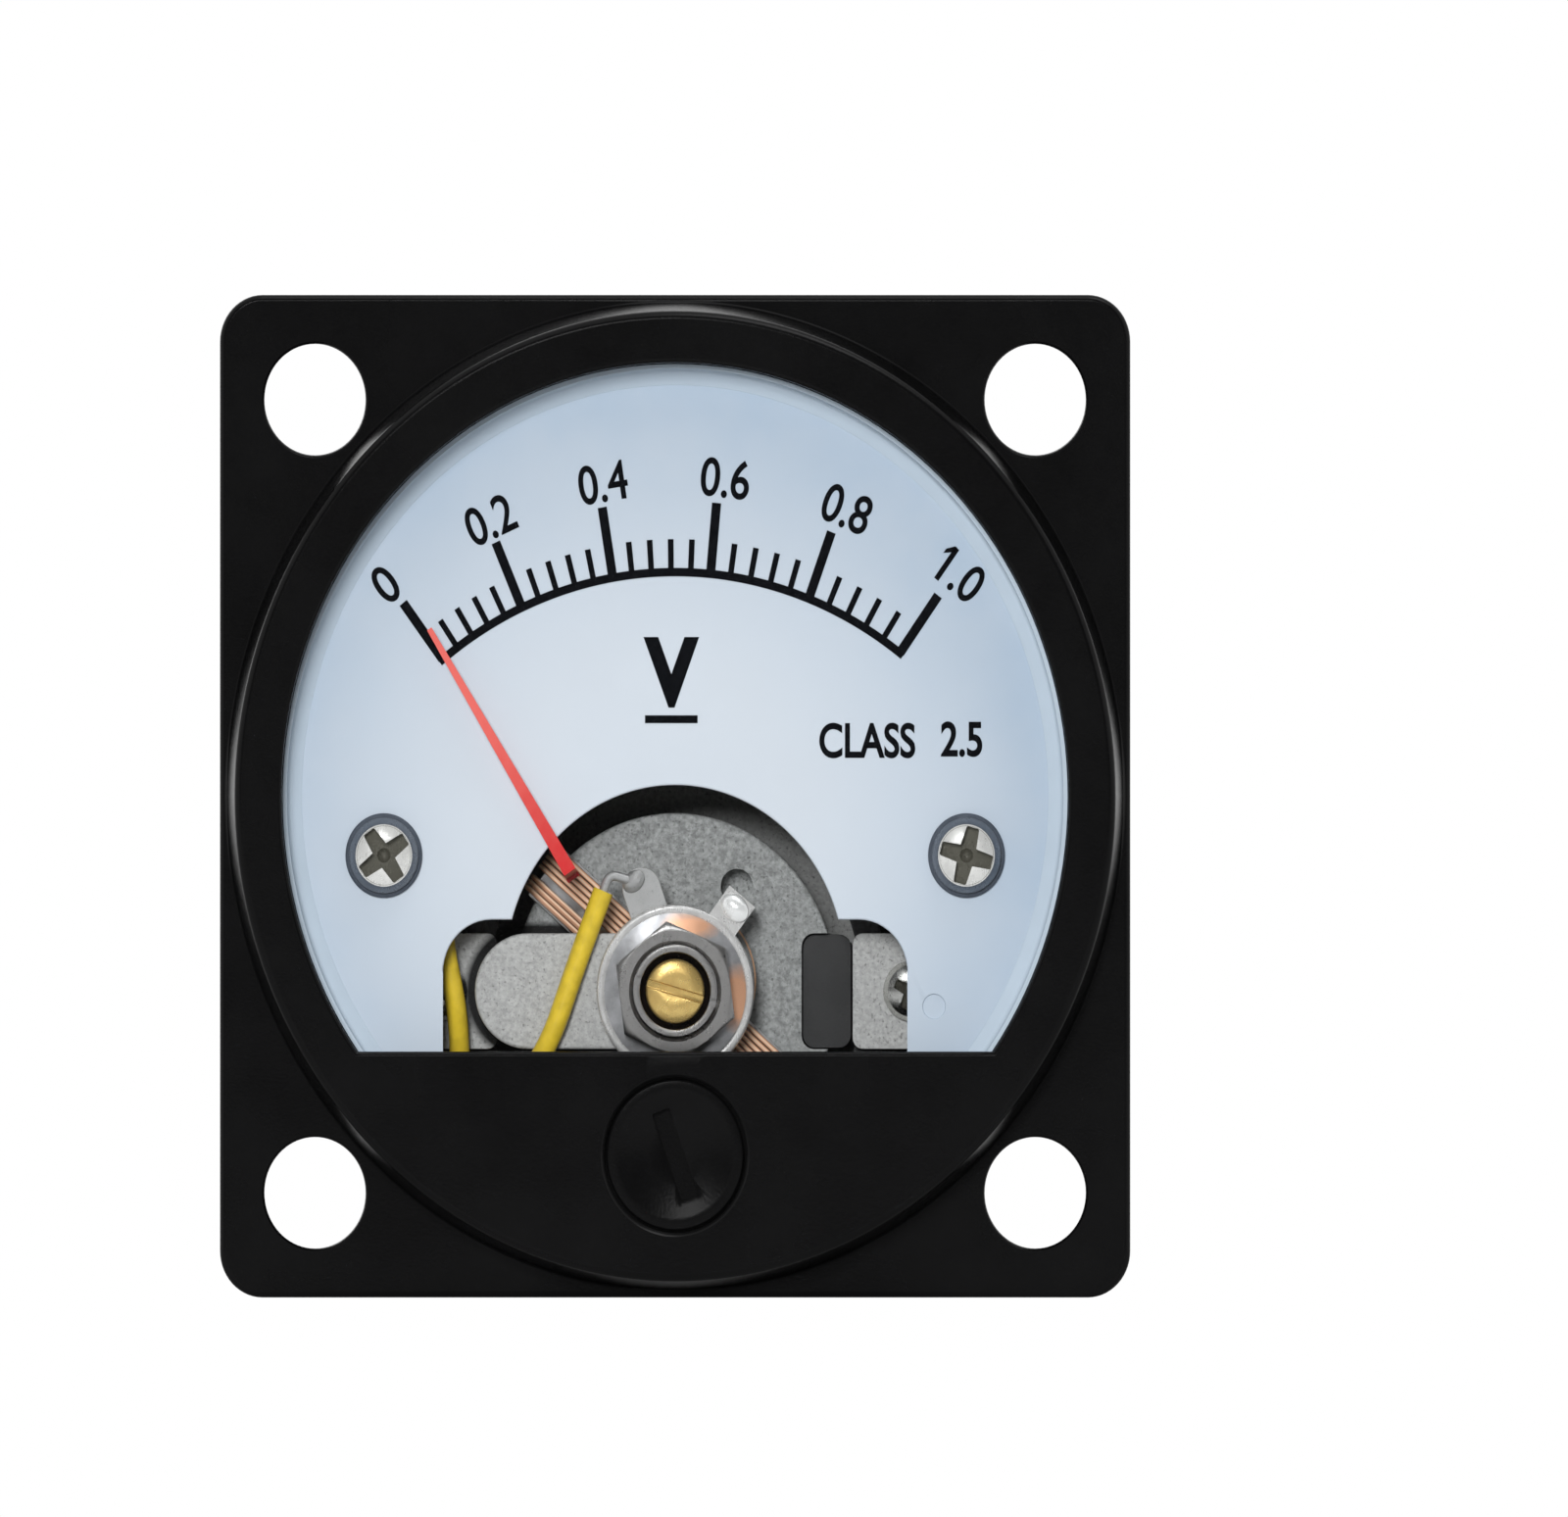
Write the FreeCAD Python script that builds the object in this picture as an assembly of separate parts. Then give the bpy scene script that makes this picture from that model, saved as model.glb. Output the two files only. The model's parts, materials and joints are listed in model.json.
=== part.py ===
import FreeCAD, Part
import math
import os

# A panel meter with a square flange, a round window and a moving coil movement behind a printed dial.
# Sizes are millimetres. The front faces -Y, X is to the right and Z is up. The origin is the middle of
# the four mounting holes, on the flange's rear face, which meets the panel. Depths are Y values, and
# angles about the pointer's axis are degrees clockwise from straight up, seen from the front.

# Dial and case, from the dial outwards
DIAL_R = 19.0
DIAL_THICK = 0.6
DIAL_CHORD_DROP = 1.74
CASE_GAP = 0.6
CASE_WALL = 1.15
CASE_FLOOR = 1.5
CASE_BOSS = 2.65
CASE_BACK_ROUND = 1.2
CASE_FIT = 0.1
BEAD_RISE = 0.25
BEAD_WIDTH = 0.6
BEAD_INSET = 1.2

# Front cover
COVER_WALL = 0.9
RING_DRAFT = 0.4
RING_MARGIN = 0.35
RING_RISE = 3.4
RING_EDGE = 0.35
LIP = 1.0
LIP_EDGE = 0.25
MASK_THICK = 1.5
FLANGE_THICK = 2.4
FLANGE_CORNER = 2.1
FLANGE_EDGE = 0.3
HOLE_INSET = 4.7
MOUNT_HOLE_R = 2.5
WINDOW_CHORD_DROP = 2.71

# Lens
LENS_STEP = 0.55
LENS_SEAT = 0.75
LENS_THICK = 1.4
LENS_OVERLAP = 0.94
LENS_FIT = 0.05
SKIRT_WALL = 0.8
SKIRT_LENGTH = 1.75
SKIRT_GAP = 0.05
SKIRT_AIR = 0.2

# Pointer axis and the dial's print
PIVOT_RISE = 10.25
SCALE_INSET = 9.35
SCALE_LINE = 0.38
MAJOR_TICK = 3.6
MAJOR_TICK_WIDTH = 0.45
MINOR_TICK = 1.8
MINOR_TICK_WIDTH = 0.24
SCALE_START_ANGLE = -36.5
SCALE_STEP_ANGLE = 14.6
MAJOR_STEPS = 5
MINOR_STEPS = 5
INK_THICK = 0.04

# Dial cut-out, screws and pillars
CUTOUT_GAP = 0.4
CUTOUT_RISE = 0.85
CUTOUT_HALF = 11.48
CUTOUT_SHOULDER = 3.21
CUTOUT_CORNER = 2.4
DIAL_SCREW_INSET = 4.6
DIAL_SCREW_RISE = 6.09
DIAL_SCREW_R = 1.0
SCREW_HEAD_R = 1.7
SCREW_HEAD_RISE = 1.0
HEAD_ROUND = 0.6
SCREW_FIT = 0.1
RECESS_WIDTH = 0.62
RECESS_WALL = 0.55
RECESS_DEPTH = 0.65
RECESS_ANGLES = {-1: 55.0, 1: 15.0}
WASHER_R = 1.9
WASHER_THICK = 0.3
PILLAR_FLATS = 3.6
PILLAR_SCREW_DEPTH = 4.0
PILLAR_BOSS_WALL = 0.3
PILLAR_STUD = 2.0
PIN_MARK_INSET = 6.2
PIN_MARK_DROP = 0.69
PIN_MARK_R = 0.55
PIN_MARK_DEPTH = 0.12

# Movement: round parts about the pointer's axis
YOKE_AIR = 0.35
YOKE_WALL = 1.3
YOKE_SEAT = 0.1
YOKE_LENGTH = 8.0
COIL_AIR = 0.4
WIRE_BUILD = 0.45
FORMER_WALL = 0.15
CORE_AIR = 0.2
CORE_THICK = 9.0
CORE_END_AIR = 0.4
CORE_EDGE = 0.2
CORE_DIMPLE_R = 0.8
CORE_DIMPLE_REACH = 5.6
CORE_DIMPLE_ANGLE = 33.0
CORE_DIMPLE_DEPTH = 2.0
NOTCH_LEFT = 1.6
NOTCH_RIGHT = 1.75
NOTCH_HALF = 2.6
NOTCH_CORNER = 0.6
NOTCH_GAP = 0.05

# Movement: bridge, frame and clamps
MOVEMENT_GAP = 1.0
TAG_THICK = 0.3
TAG_R = 3.4
TAG_LUG_ANGLE = -19.8
TAG_LUG_REACH = 4.9
TAG_LUG_HALF = 0.95
BRIDGE_THICK = 1.4
BRIDGE_HALF = 2.6
BRIDGE_BOSS_R = 3.4
BRIDGE_END = 9.9
BRIDGE_EDGE = 0.2
POST_GAP = 0.15
POST_AIR = 0.5
POST_HALF = 2.1
PLATE_THICK = 1.7
BAR_HALF = 2.3
CLAMP_POST_WIDTH = 2.4
CLAMP_POST_GAP = 0.1
CLAMP_INSET = 0.43
CLAMP_OVERHANG = 0.2
CLAMP_THICK = 1.5
CLAMP_CORNER = 0.5
CLAMP_SCREW_INSET = 1.0
CLAMP_RECESS_ANGLE = 25.0
CLAMP_SCREW_R = 0.7
CLAMP_HEAD_R = 1.36
CLAMP_HEAD_RISE = 0.8
CLAMP_SCREW_LENGTH = 4.0
HOLDER_WIDTH = 2.4
HOLDER_HEAD = 1.7
HOLDER_WAIST = 2.2
HOLDER_STEP = 0.6
EAR_X = 9.65
EAR_RISE = 8.1
EAR_R = 2.4
EAR_SCREW_R = 1.0
EAR_HEAD_R = 1.8
EAR_HEAD_RISE = 1.2
EAR_SCREW_DEPTH = 2.0
EAR_RECESS_ANGLE = 10.0
BRIDGE_SCREW_R = 0.8
BRIDGE_HEAD_R = 1.5
BRIDGE_HEAD_RISE = 1.0
BRIDGE_SCREW_DEPTH = 3.0

# Pivots, jewel screws and their nuts
BUSH_R = 2.1
BUSH_RISE = 2.3
BUSH_MOUTH_R = 1.75
BUSH_MOUTH_DEPTH = 1.2
JEWEL_R = 1.45
JEWEL_LENGTH = 2.8
JEWEL_SINK = 0.4
REAR_JEWEL_LENGTH = 3.2
JEWEL_CUP_R = 0.55
JEWEL_CUP_DEPTH = 0.5
SLOT_WIDTH = 0.36
SLOT_DEPTH = 0.45
SLOT_ANGLE = 105.4
THREAD_FIT = 0.02
NUT_FLATS = 5.5
NUT_THICK = 1.25
NUT_SINK = 0.2
NUT_ANGLE = 8.0
NUT_CHAMFER = 0.2
REAR_NUT_THICK = 1.2
CONE_WASHER_R = 3.5
CONE_WASHER_THICK = 0.12
CONE_GAP = 0.02
STAFF_R = 0.35
STAFF_TIP = 0.45
TIP_GAP = 0.1
COLLET_R = 0.7
PIVOT_BASE_R = 1.2
PIVOT_BASE_THICK = 0.3

# Hairsprings
SPRING_AIR = 0.25
SPRING_WIDTH = 0.35
SPRING_BASE_GAP = 0.1
SPRING_LEAF = 0.08
SPRING_OUTER_R = 4.65
SPRING_TURNS = 3
SPRING_SEAT = 0.03
REAR_SPRING_GAP = 0.2
ANCHOR_R = 0.4
ANCHOR_RIVET_R = 0.4
ANCHOR_ANGLE = 230.7
ANCHOR_TAIL_ANGLE = 235.1
ANCHOR_TAIL_REACH = 6.8
ANCHOR_TAIL_HALF = 0.8

# Moving coil and pointer
COIL_ANGLE = -50.0
COIL_HALF = 1.35
COIL_MARGIN = 0.1
COIL_GAP_FROM = -0.5
COIL_GAP_TO = -0.1
POINTER_X = -5.2
POINTER_RISE = 5.35
POINTER_ANGLE = -32.5
POINTER_LENGTH = 12.94
POINTER_ROOT_HALF = 0.33
POINTER_TIP_HALF = 0.13
POINTER_SHEET = 0.2
POINTER_DIAL_GAP = 0.75
POINTER_FOOT = 1.0
POINTER_LEAN = 0.35
WEIGHT_REACH = 7.0
ALUMINIUM_DENSITY = 2.7
BRASS_DENSITY = 8.4
WEIGHT_HALF = 0.5

# Zero lever and its adjuster
LEVER_THICK = 0.4
LEVER_GAP = 0.05
LEVER_R = 3.9
LEVER_FIT = 0.03
FORK_HALF = 1.35
FORK_END = 1.3
FORK_DEPTH = 1.2
TAB_ANGLE = 38.0
TAB_HALF = 0.8
TAB_SHEET = 0.35
TAB_REACH = 5.4
ADJUSTER_DROP = 7.35
ADJUSTER_HEAD_R = 3.4
ADJUSTER_POCKET_GAP = 0.1
ADJUSTER_SINK = 0.35
ADJUSTER_HEAD_THICK = 0.7
ADJUSTER_STEM_R = 2.2
ADJUSTER_FIT = 0.1
ADJUSTER_BOSS_WALL = 1.0
ADJUSTER_BOSS_RISE = 0.6
ADJUSTER_FLOAT = 0.05
ADJUSTER_RIM = 0.55
ADJUSTER_RIM_THICK = 0.35
ADJUSTER_DISH = 0.25
ADJUSTER_DISH_R = 2.9
ADJUSTER_SLOT_LENGTH = 4.2
ADJUSTER_SLOT_WIDTH = 0.9
ADJUSTER_SLOT_DEPTH = 0.6
ADJUSTER_SLOT_ANGLE = -20.0
CRANK = 0.8
CRANK_PIN_R = 0.45
CRANK_PIN_FIT = 0.07
CRANK_PIN_PAST = 0.5

# Terminals
TERMINAL_X_INSET = 9.0
TERMINAL_RISE = 16.75
STUD_R = 1.5
STUD_FIT = 0.1
STUD_REACH = 8.9
STUD_CHAMFER = 0.3
STUD_HEAD = 2.0
TERMINAL_TAG_THICK = 0.4
TERMINAL_TAG_R = 2.9
TAIL_HALF = 0.9
TAIL_LENGTH = 5.6
PAD_R = 4.2
PAD_RISE = 0.6
OUTER_WASHER_R = 3.2
OUTER_WASHER_THICK = 0.5
OUTER_NUT_THICK = 2.4
OUTER_NUT_STEP = 10.0
LUG_LENGTH = 7.5
LUG_EYE_R = 0.6
LEFT_TAIL_ANGLE = 225.0
RIGHT_TAIL_ANGLE = -90.0

# Wiring
LEAD_R = 0.5
LEAD_CORE_R = 0.22
RESISTOR_R = 1.2
RESISTOR_END_R = 1.35
RESISTOR_HALF = 3.25
RESISTOR_CAP = 0.9
RESISTOR_AIR = 3.5
RESISTOR_WIRE_R = 0.3
RESISTOR_WIRE_END = 1.75

# Case and cover, worked out from the dial
V = FreeCAD.Vector
CASE_BORE_R = DIAL_R + CASE_GAP
CASE_R = CASE_BORE_R + CASE_WALL
COVER_BORE_R = CASE_R + CASE_FIT
LENS_R = CASE_R - LENS_STEP
WINDOW_R = LENS_R - LENS_SEAT
RING_FACE_R = COVER_BORE_R + COVER_WALL
RING_BASE_R = RING_FACE_R + RING_DRAFT
FLANGE_HALF = RING_BASE_R + RING_MARGIN
HOLE_HALF = FLANGE_HALF - HOLE_INSET

# Places on the dial and the case's floor
PIVOT_Z = PIVOT_RISE - DIAL_R
SCALE_R = DIAL_R - PIVOT_Z - SCALE_INSET
WINDOW_CHORD_Z = PIVOT_Z - WINDOW_CHORD_DROP
DIAL_SCREW_X = DIAL_R - DIAL_SCREW_INSET
PIN_MARK_X = DIAL_R - PIN_MARK_INSET
TERMINAL_X = DIAL_R - TERMINAL_X_INSET
TERMINAL_Z = PIVOT_Z + TERMINAL_RISE

# Depths from the front of the cover to the back of the terminals
FRONT = -(FLANGE_THICK + RING_RISE)
LENS_FRONT = FRONT + LIP
LENS_BACK = LENS_FRONT + LENS_THICK
MASK_BACK = FRONT + MASK_THICK
DIAL_FRONT = LENS_BACK + SKIRT_LENGTH + SKIRT_GAP
DIAL_BACK = DIAL_FRONT + DIAL_THICK
TAG_FRONT = DIAL_BACK + MOVEMENT_GAP
BRIDGE_FRONT = TAG_FRONT + TAG_THICK
BRIDGE_BACK = BRIDGE_FRONT + BRIDGE_THICK
SPRING_FRONT = BRIDGE_BACK + SPRING_AIR
SPRING_BACK = SPRING_FRONT + SPRING_WIDTH
PIVOT_BASE_FRONT = SPRING_BACK + SPRING_BASE_GAP
COIL_FRONT = PIVOT_BASE_FRONT + PIVOT_BASE_THICK
CORE_FRONT = COIL_FRONT + WIRE_BUILD + FORMER_WALL + CORE_END_AIR
CORE_BACK = CORE_FRONT + CORE_THICK
COIL_BACK = CORE_BACK + CORE_END_AIR + FORMER_WALL + WIRE_BUILD
REAR_BASE_BACK = COIL_BACK + PIVOT_BASE_THICK
REAR_SPRING_FRONT = REAR_BASE_BACK + SPRING_BASE_GAP
REAR_SPRING_BACK = REAR_SPRING_FRONT + SPRING_WIDTH
PLATE_FRONT = REAR_SPRING_BACK + REAR_SPRING_GAP
PLATE_BACK = PLATE_FRONT + PLATE_THICK
YOKE_FRONT = (CORE_FRONT + CORE_BACK - YOKE_LENGTH) / 2
YOKE_BACK = YOKE_FRONT + YOKE_LENGTH
LEVER_BACK = TAG_FRONT - LEVER_GAP
LEVER_FRONT = LEVER_BACK - LEVER_THICK
BUSH_FRONT = TAG_FRONT - BUSH_RISE
NUT_FRONT = BUSH_FRONT + NUT_SINK
NUT_BACK = NUT_FRONT + NUT_THICK
JEWEL_FRONT = BUSH_FRONT + JEWEL_SINK
JEWEL_BACK = JEWEL_FRONT + JEWEL_LENGTH
REAR_JEWEL_FRONT = PLATE_FRONT + REAR_SPRING_GAP
FLOOR = PLATE_BACK + CASE_BOSS
CASE_DEPTH = FLOOR + CASE_FLOOR
PAD_BACK = CASE_DEPTH + PAD_RISE
POINTER_FRONT = DIAL_FRONT - POINTER_DIAL_GAP - POINTER_SHEET

# Radii about the pointer's axis, from the case inwards
YOKE_R = CASE_BORE_R + PIVOT_Z - YOKE_AIR
YOKE_BORE_R = YOKE_R - YOKE_WALL
COIL_REACH = YOKE_BORE_R - COIL_AIR
FORMER_REACH = COIL_REACH - WIRE_BUILD
COIL_BORE = FORMER_REACH - FORMER_WALL
CORE_R = COIL_BORE - CORE_AIR
CUTOUT_R = CORE_R + CUTOUT_GAP
POST_INNER = CORE_R - NOTCH_LEFT + POST_GAP
POST_OUTER = YOKE_BORE_R - POST_AIR
POST_MIDDLE = (POST_INNER + POST_OUTER) / 2
CLAMP_INNER = YOKE_BORE_R - CLAMP_INSET
CLAMP_POST_INNER = YOKE_R + CLAMP_POST_GAP
CLAMP_SCREW_X = CLAMP_POST_INNER + CLAMP_SCREW_INSET
BAR_REACH = CLAMP_POST_INNER + CLAMP_POST_WIDTH
HOLDER_INNER = CORE_R - NOTCH_RIGHT + NOTCH_GAP

# Places of the screws, the pillars and the adjuster
DIAL_SCREW_Z = PIVOT_Z + DIAL_SCREW_RISE
EAR_Z = PIVOT_Z + EAR_RISE
ADJUSTER_Z = PIVOT_Z - ADJUSTER_DROP
LENS_CHORD_Z = WINDOW_CHORD_Z - LENS_OVERLAP
ADJUSTER_HOLE_R = ADJUSTER_STEM_R + ADJUSTER_FIT
ADJUSTER_HEAD_FRONT = FRONT + ADJUSTER_SINK
ADJUSTER_HEAD_BACK = ADJUSTER_HEAD_FRONT + ADJUSTER_HEAD_THICK
ADJUSTER_FLOOR = ADJUSTER_HEAD_BACK + ADJUSTER_FLOAT
ADJUSTER_BOSS_BACK = MASK_BACK + ADJUSTER_BOSS_RISE
ADJUSTER_RIM_FRONT = ADJUSTER_BOSS_BACK + ADJUSTER_FLOAT
ADJUSTER_RIM_BACK = ADJUSTER_RIM_FRONT + ADJUSTER_RIM_THICK
PAST = 1.0
SIDES = {"left": -1, "right": 1}

# Routes of the two insulated leads, each ending at a soldered joint
RESISTOR_Y = FLOOR - RESISTOR_AIR
FRONT_LEAD = [
    (-3.55, -0.3, -4.25), (-4.9, -0.3, -7.6), (-6.25, -0.45, -11.3), (-8.8, 0.8, -14.5),
    (-12.9, 2.6, -13.2), (-15.4, 5.4, -9.6), (-16.3, 8.4, -6.0), (-17.35, 11.2, -2.2),
    (-16.2, 13.8, 1.8), (-14.1, 16.3, 4.0), (-13.0, 18.0, 4.9),
]
REAR_LEAD = [
    (-(RESISTOR_HALF + RESISTOR_WIRE_END), RESISTOR_Y, TERMINAL_Z), (-6.7, RESISTOR_Y, TERMINAL_Z),
    (-8.6, 13.4, 6.4), (-10.2, 10.2, 3.8), (-11.0, 6.6, 0.6),
    (-11.5, 3.0, -3.0), (-11.45, 1.1, -6.6), (-10.75, 0.95, -9.6), (-10.6, 2.4, -12.5),
    (-10.9, 6.0, -14.1), (-10.7, 10.0, -14.6), (-10.6, 13.2, -14.7), (-10.4, 15.6, -14.5),
    (-9.8, 17.3, -13.9), (-8.4, 17.5, -13.0), (-6.6, 17.35, -12.3),
]
FRONT_LEAD_TAIL = [(-2.3, -0.24, -3.75), (-3.25, -0.3, -3.5), (-3.55, -0.3, -4.25)]


def tidy(shape):
    """A fused or cut shape with its coplanar faces merged, as a plain solid where it is one."""
    merged = shape.removeSplitter()
    return merged.Solids[0] if len(merged.Solids) == 1 else merged


def disc(radius, front, back, x=0.0, z=0.0):
    """A cylinder along the depth axis."""
    return Part.makeCylinder(radius, back - front, V(x, front, z), V(0, 1, 0))


def ring(outer, inner, front, back, x=0.0, z=0.0):
    """A washer or a tube along the depth axis."""
    return disc(outer, front, back, x, z).cut(disc(inner, front - PAST, back + PAST, x, z))


def block(x0, x1, front, back, z0, z1):
    """A box between two corners."""
    return Part.makeBox(x1 - x0, back - front, z1 - z0, V(x0, front, z0))


def turned(profile, x=0.0, z=0.0):
    """A turned piece from its (radius, depth) outline, about a depth axis at (x, z)."""
    corners = [V(radius, depth, 0) for radius, depth in profile]
    solid = Part.Face(Part.makePolygon(corners + corners[:1])).revolve(V(0, 0, 0), V(0, 1, 0), 360)
    if solid.Volume < 0:
        solid.reverse()
    solid.translate(V(x, 0, z))
    return solid


def prism(outline, front, back):
    """A plate with straight sides from its (x, z) outline."""
    corners = [V(x, front, z) for x, z in outline]
    return Part.Face(Part.makePolygon(corners + corners[:1])).extrude(V(0, back - front, 0))


def hexagon(flats, front, back, x=0.0, z=0.0, turn=0.0):
    """A hexagonal prism whose first corner stands at turn degrees plus 30."""
    reach = flats / math.sqrt(3)
    angles = [math.radians(turn + 30 + 60 * i) for i in range(6)]
    return prism([(x + reach * math.cos(a), z + reach * math.sin(a)) for a in angles], front, back)


def nut(flats, bore, front, back, x=0.0, z=0.0, turn=0.0):
    """A hexagon nut with chamfered corners on both faces."""
    reach = flats / math.sqrt(3)
    flat = flats / 2
    blank = turned([(0, front), (flat, front), (reach, front + NUT_CHAMFER),
                    (reach, back - NUT_CHAMFER), (flat, back), (0, back)], x, z)
    body = hexagon(flats, front, back, x, z, turn).common(blank)
    return body.cut(disc(bore, front - PAST, back + PAST, x, z))


def arm(x0, z0, x1, z1, half, front, back):
    """A flat bar from one point to another, with both ends round."""
    length = math.hypot(x1 - x0, z1 - z0)
    bar = block(0, length, front, back, -half, half)
    bar = bar.fuse(disc(half, front, back)).fuse(disc(half, front, back, length))
    bar.rotate(V(0, 0, 0), V(0, 1, 0), -math.degrees(math.atan2(z1 - z0, x1 - x0)))
    bar.translate(V(x0, 0, z0))
    return tidy(bar)


def about_pivot(shape, turn):
    """Turns a shape clockwise, seen from the front, about the pointer's axis."""
    shape.rotate(V(0, 0, PIVOT_Z), V(0, 1, 0), turn)
    return shape


def polar(radius, turn):
    """The (x, z) place at a radius and an angle from straight up about the pointer's axis."""
    angle = math.radians(turn)
    return radius * math.sin(angle), PIVOT_Z + radius * math.cos(angle)


def depth_edges(shape, wanted):
    """The straight edges along the depth axis whose (x, z) place is wanted."""
    found = []
    for edge in shape.Edges:
        a = edge.Vertexes[0].Point
        b = edge.Vertexes[-1].Point
        if len(edge.Vertexes) == 2 and math.hypot(a.x - b.x, a.z - b.z) < 1e-6 and wanted(a.x, a.z):
            found.append(edge)
    return found


def edges_at(shape, depth, wanted=lambda edge: True):
    """The edges that lie in the plane at one depth."""
    flat = [e for e in shape.Edges if all(abs(v.Point.y - depth) < 1e-6 for v in e.Vertexes)]
    return [e for e in flat if abs(e.BoundBox.YLength) < 1e-6 and wanted(e)]


def cross_recess(head_front, head_r, x, z, turn):
    """The cutter for a screw's cross recess: two crossing wings and a pointed centre."""
    half = RECESS_WIDTH / 2
    reach = head_r - RECESS_WALL
    wings = turned([(0, head_front), (half, head_front), (0, head_front + 2 * RECESS_DEPTH)], x, z)
    for angle in (turn, turn + 90):
        wing = block(-reach, reach, head_front - PAST, head_front + RECESS_DEPTH,
                     -half, half)
        wing.rotate(V(0, 0, 0), V(0, 1, 0), angle)
        wing.translate(V(x, 0, z))
        wings = wings.fuse(wing)
    return wings


def pan_screw(seat, head_r, head_rise, shank_r, tip, x, z, turn=0.0):
    """A screw with a domed head in front of its seat and a cross recess."""
    front = seat - head_rise
    head = disc(head_r, front, seat, x, z)
    head = head.makeFillet(head_rise * HEAD_ROUND, edges_at(head, front))
    screw = tidy(head.fuse(disc(shank_r, seat, tip, x, z)))
    return screw.cut(cross_recess(front, head_r, x, z, turn))


def route(points):
    """Straight runs joined by tangent arcs, as one wire, with the radius of each arc."""
    corners = [V(*p) for p in points]
    edges = []
    radii = []
    last = corners[0]
    for before, corner, after in zip(corners, corners[1:], corners[2:]):
        into = corner - before
        out = after - corner
        trim = 0.45 * min(into.Length, out.Length)
        half_turn = into.getAngle(out) / 2
        radii.append(trim / math.tan(half_turn))
        into.normalize()
        out.normalize()
        start = corner - into * trim
        end = corner + out * trim
        inward = out - into
        inward.normalize()
        sag = radii[-1] * (1 / math.cos(half_turn) - 1)
        edges.append(Part.LineSegment(last, start).toShape())
        edges.append(Part.Arc(start, corner + inward * sag, end).toShape())
        last = end
    edges.append(Part.LineSegment(last, corners[-1]).toShape())
    return Part.Wire(edges), radii


def wire_along(points, radius):
    """A round wire or lead along a route."""
    path, radii = route(points)
    start = V(*points[0])
    section = Part.Wire(Part.makeCircle(radius, start, V(*points[1]) - start))
    solid = path.makePipeShell([section], True, False)
    if solid.Volume < 0:
        solid.reverse()
    if radii:
        share = solid.Volume / (math.pi * radius ** 2 * path.Length)
        print("arc radii", [round(r, 1) for r in radii], "share of section times length", round(share, 4))
    return solid


def d_shape(radius, chord_z, front, back):
    """A disc cut off below a straight edge."""
    return disc(radius, front, back).common(
        block(-radius - PAST, radius + PAST, front - PAST, back + PAST, chord_z, radius + PAST))


def front_cover():
    """The square flange and the raised ring round the window, with the mask under the window."""
    flange = block(-FLANGE_HALF, FLANGE_HALF, -FLANGE_THICK, 0, -FLANGE_HALF, FLANGE_HALF)
    flange = flange.makeFillet(FLANGE_CORNER, depth_edges(flange, lambda x, z: True))
    flange = flange.makeFillet(FLANGE_EDGE, edges_at(flange, -FLANGE_THICK))
    raised = turned([(0, FRONT), (RING_FACE_R, FRONT), (RING_BASE_R, -FLANGE_THICK),
                     (RING_BASE_R, -FLANGE_THICK / 2), (0, -FLANGE_THICK / 2)])
    raised = raised.makeFillet(RING_EDGE, edges_at(raised, FRONT))
    cover = tidy(flange.fuse(raised))
    cover = cover.cut(d_shape(WINDOW_R, WINDOW_CHORD_Z, FRONT - PAST, LENS_BACK))
    cover = cover.makeFillet(LIP_EDGE, edges_at(
        cover, FRONT, lambda e: e.BoundBox.DiagonalLength > 1 and
        math.hypot(e.Vertexes[0].Point.x, e.Vertexes[0].Point.z) < WINDOW_R + LIP_EDGE / 2))
    cover = cover.cut(d_shape(LENS_R + LENS_FIT, LENS_CHORD_Z - LENS_FIT, LENS_FRONT, LENS_BACK))
    cover = cover.cut(disc(LENS_R + LENS_FIT, MASK_BACK, LENS_BACK))
    cover = cover.cut(disc(COVER_BORE_R, LENS_BACK, PAST))
    groove = LENS_BACK + BEAD_INSET
    cover = cover.cut(ring(CASE_R + BEAD_RISE + CASE_FIT, CASE_R, groove - CASE_FIT,
                           groove + BEAD_WIDTH + CASE_FIT))
    cover = cover.fuse(disc(ADJUSTER_HOLE_R + ADJUSTER_BOSS_WALL, MASK_BACK - LIP / 2,
                            ADJUSTER_BOSS_BACK, 0, ADJUSTER_Z))
    cover = cover.cut(disc(ADJUSTER_HOLE_R, FRONT, ADJUSTER_RIM_BACK, 0, ADJUSTER_Z))
    cover = cover.cut(disc(ADJUSTER_HEAD_R + ADJUSTER_POCKET_GAP, FRONT - PAST, ADJUSTER_FLOOR,
                           0, ADJUSTER_Z))
    for x in (-HOLE_HALF, HOLE_HALF):
        for z in (-HOLE_HALF, HOLE_HALF):
            cover = cover.cut(disc(MOUNT_HOLE_R, -FLANGE_THICK - PAST, PAST, x, z))
    return tidy(cover)


def window_lens():
    """The clear window, with the skirt that runs back to the dial inside the case."""
    lens = d_shape(LENS_R, LENS_CHORD_Z, LENS_FRONT, LENS_BACK)
    skirt_r = CASE_BORE_R - SKIRT_AIR
    skirt = ring(skirt_r, skirt_r - SKIRT_WALL, LENS_BACK, LENS_BACK + SKIRT_LENGTH)
    skirt = skirt.common(block(-LENS_R, LENS_R, LENS_BACK - PAST, DIAL_FRONT, LENS_CHORD_Z, LENS_R))
    return tidy(lens.fuse(skirt))


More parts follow.
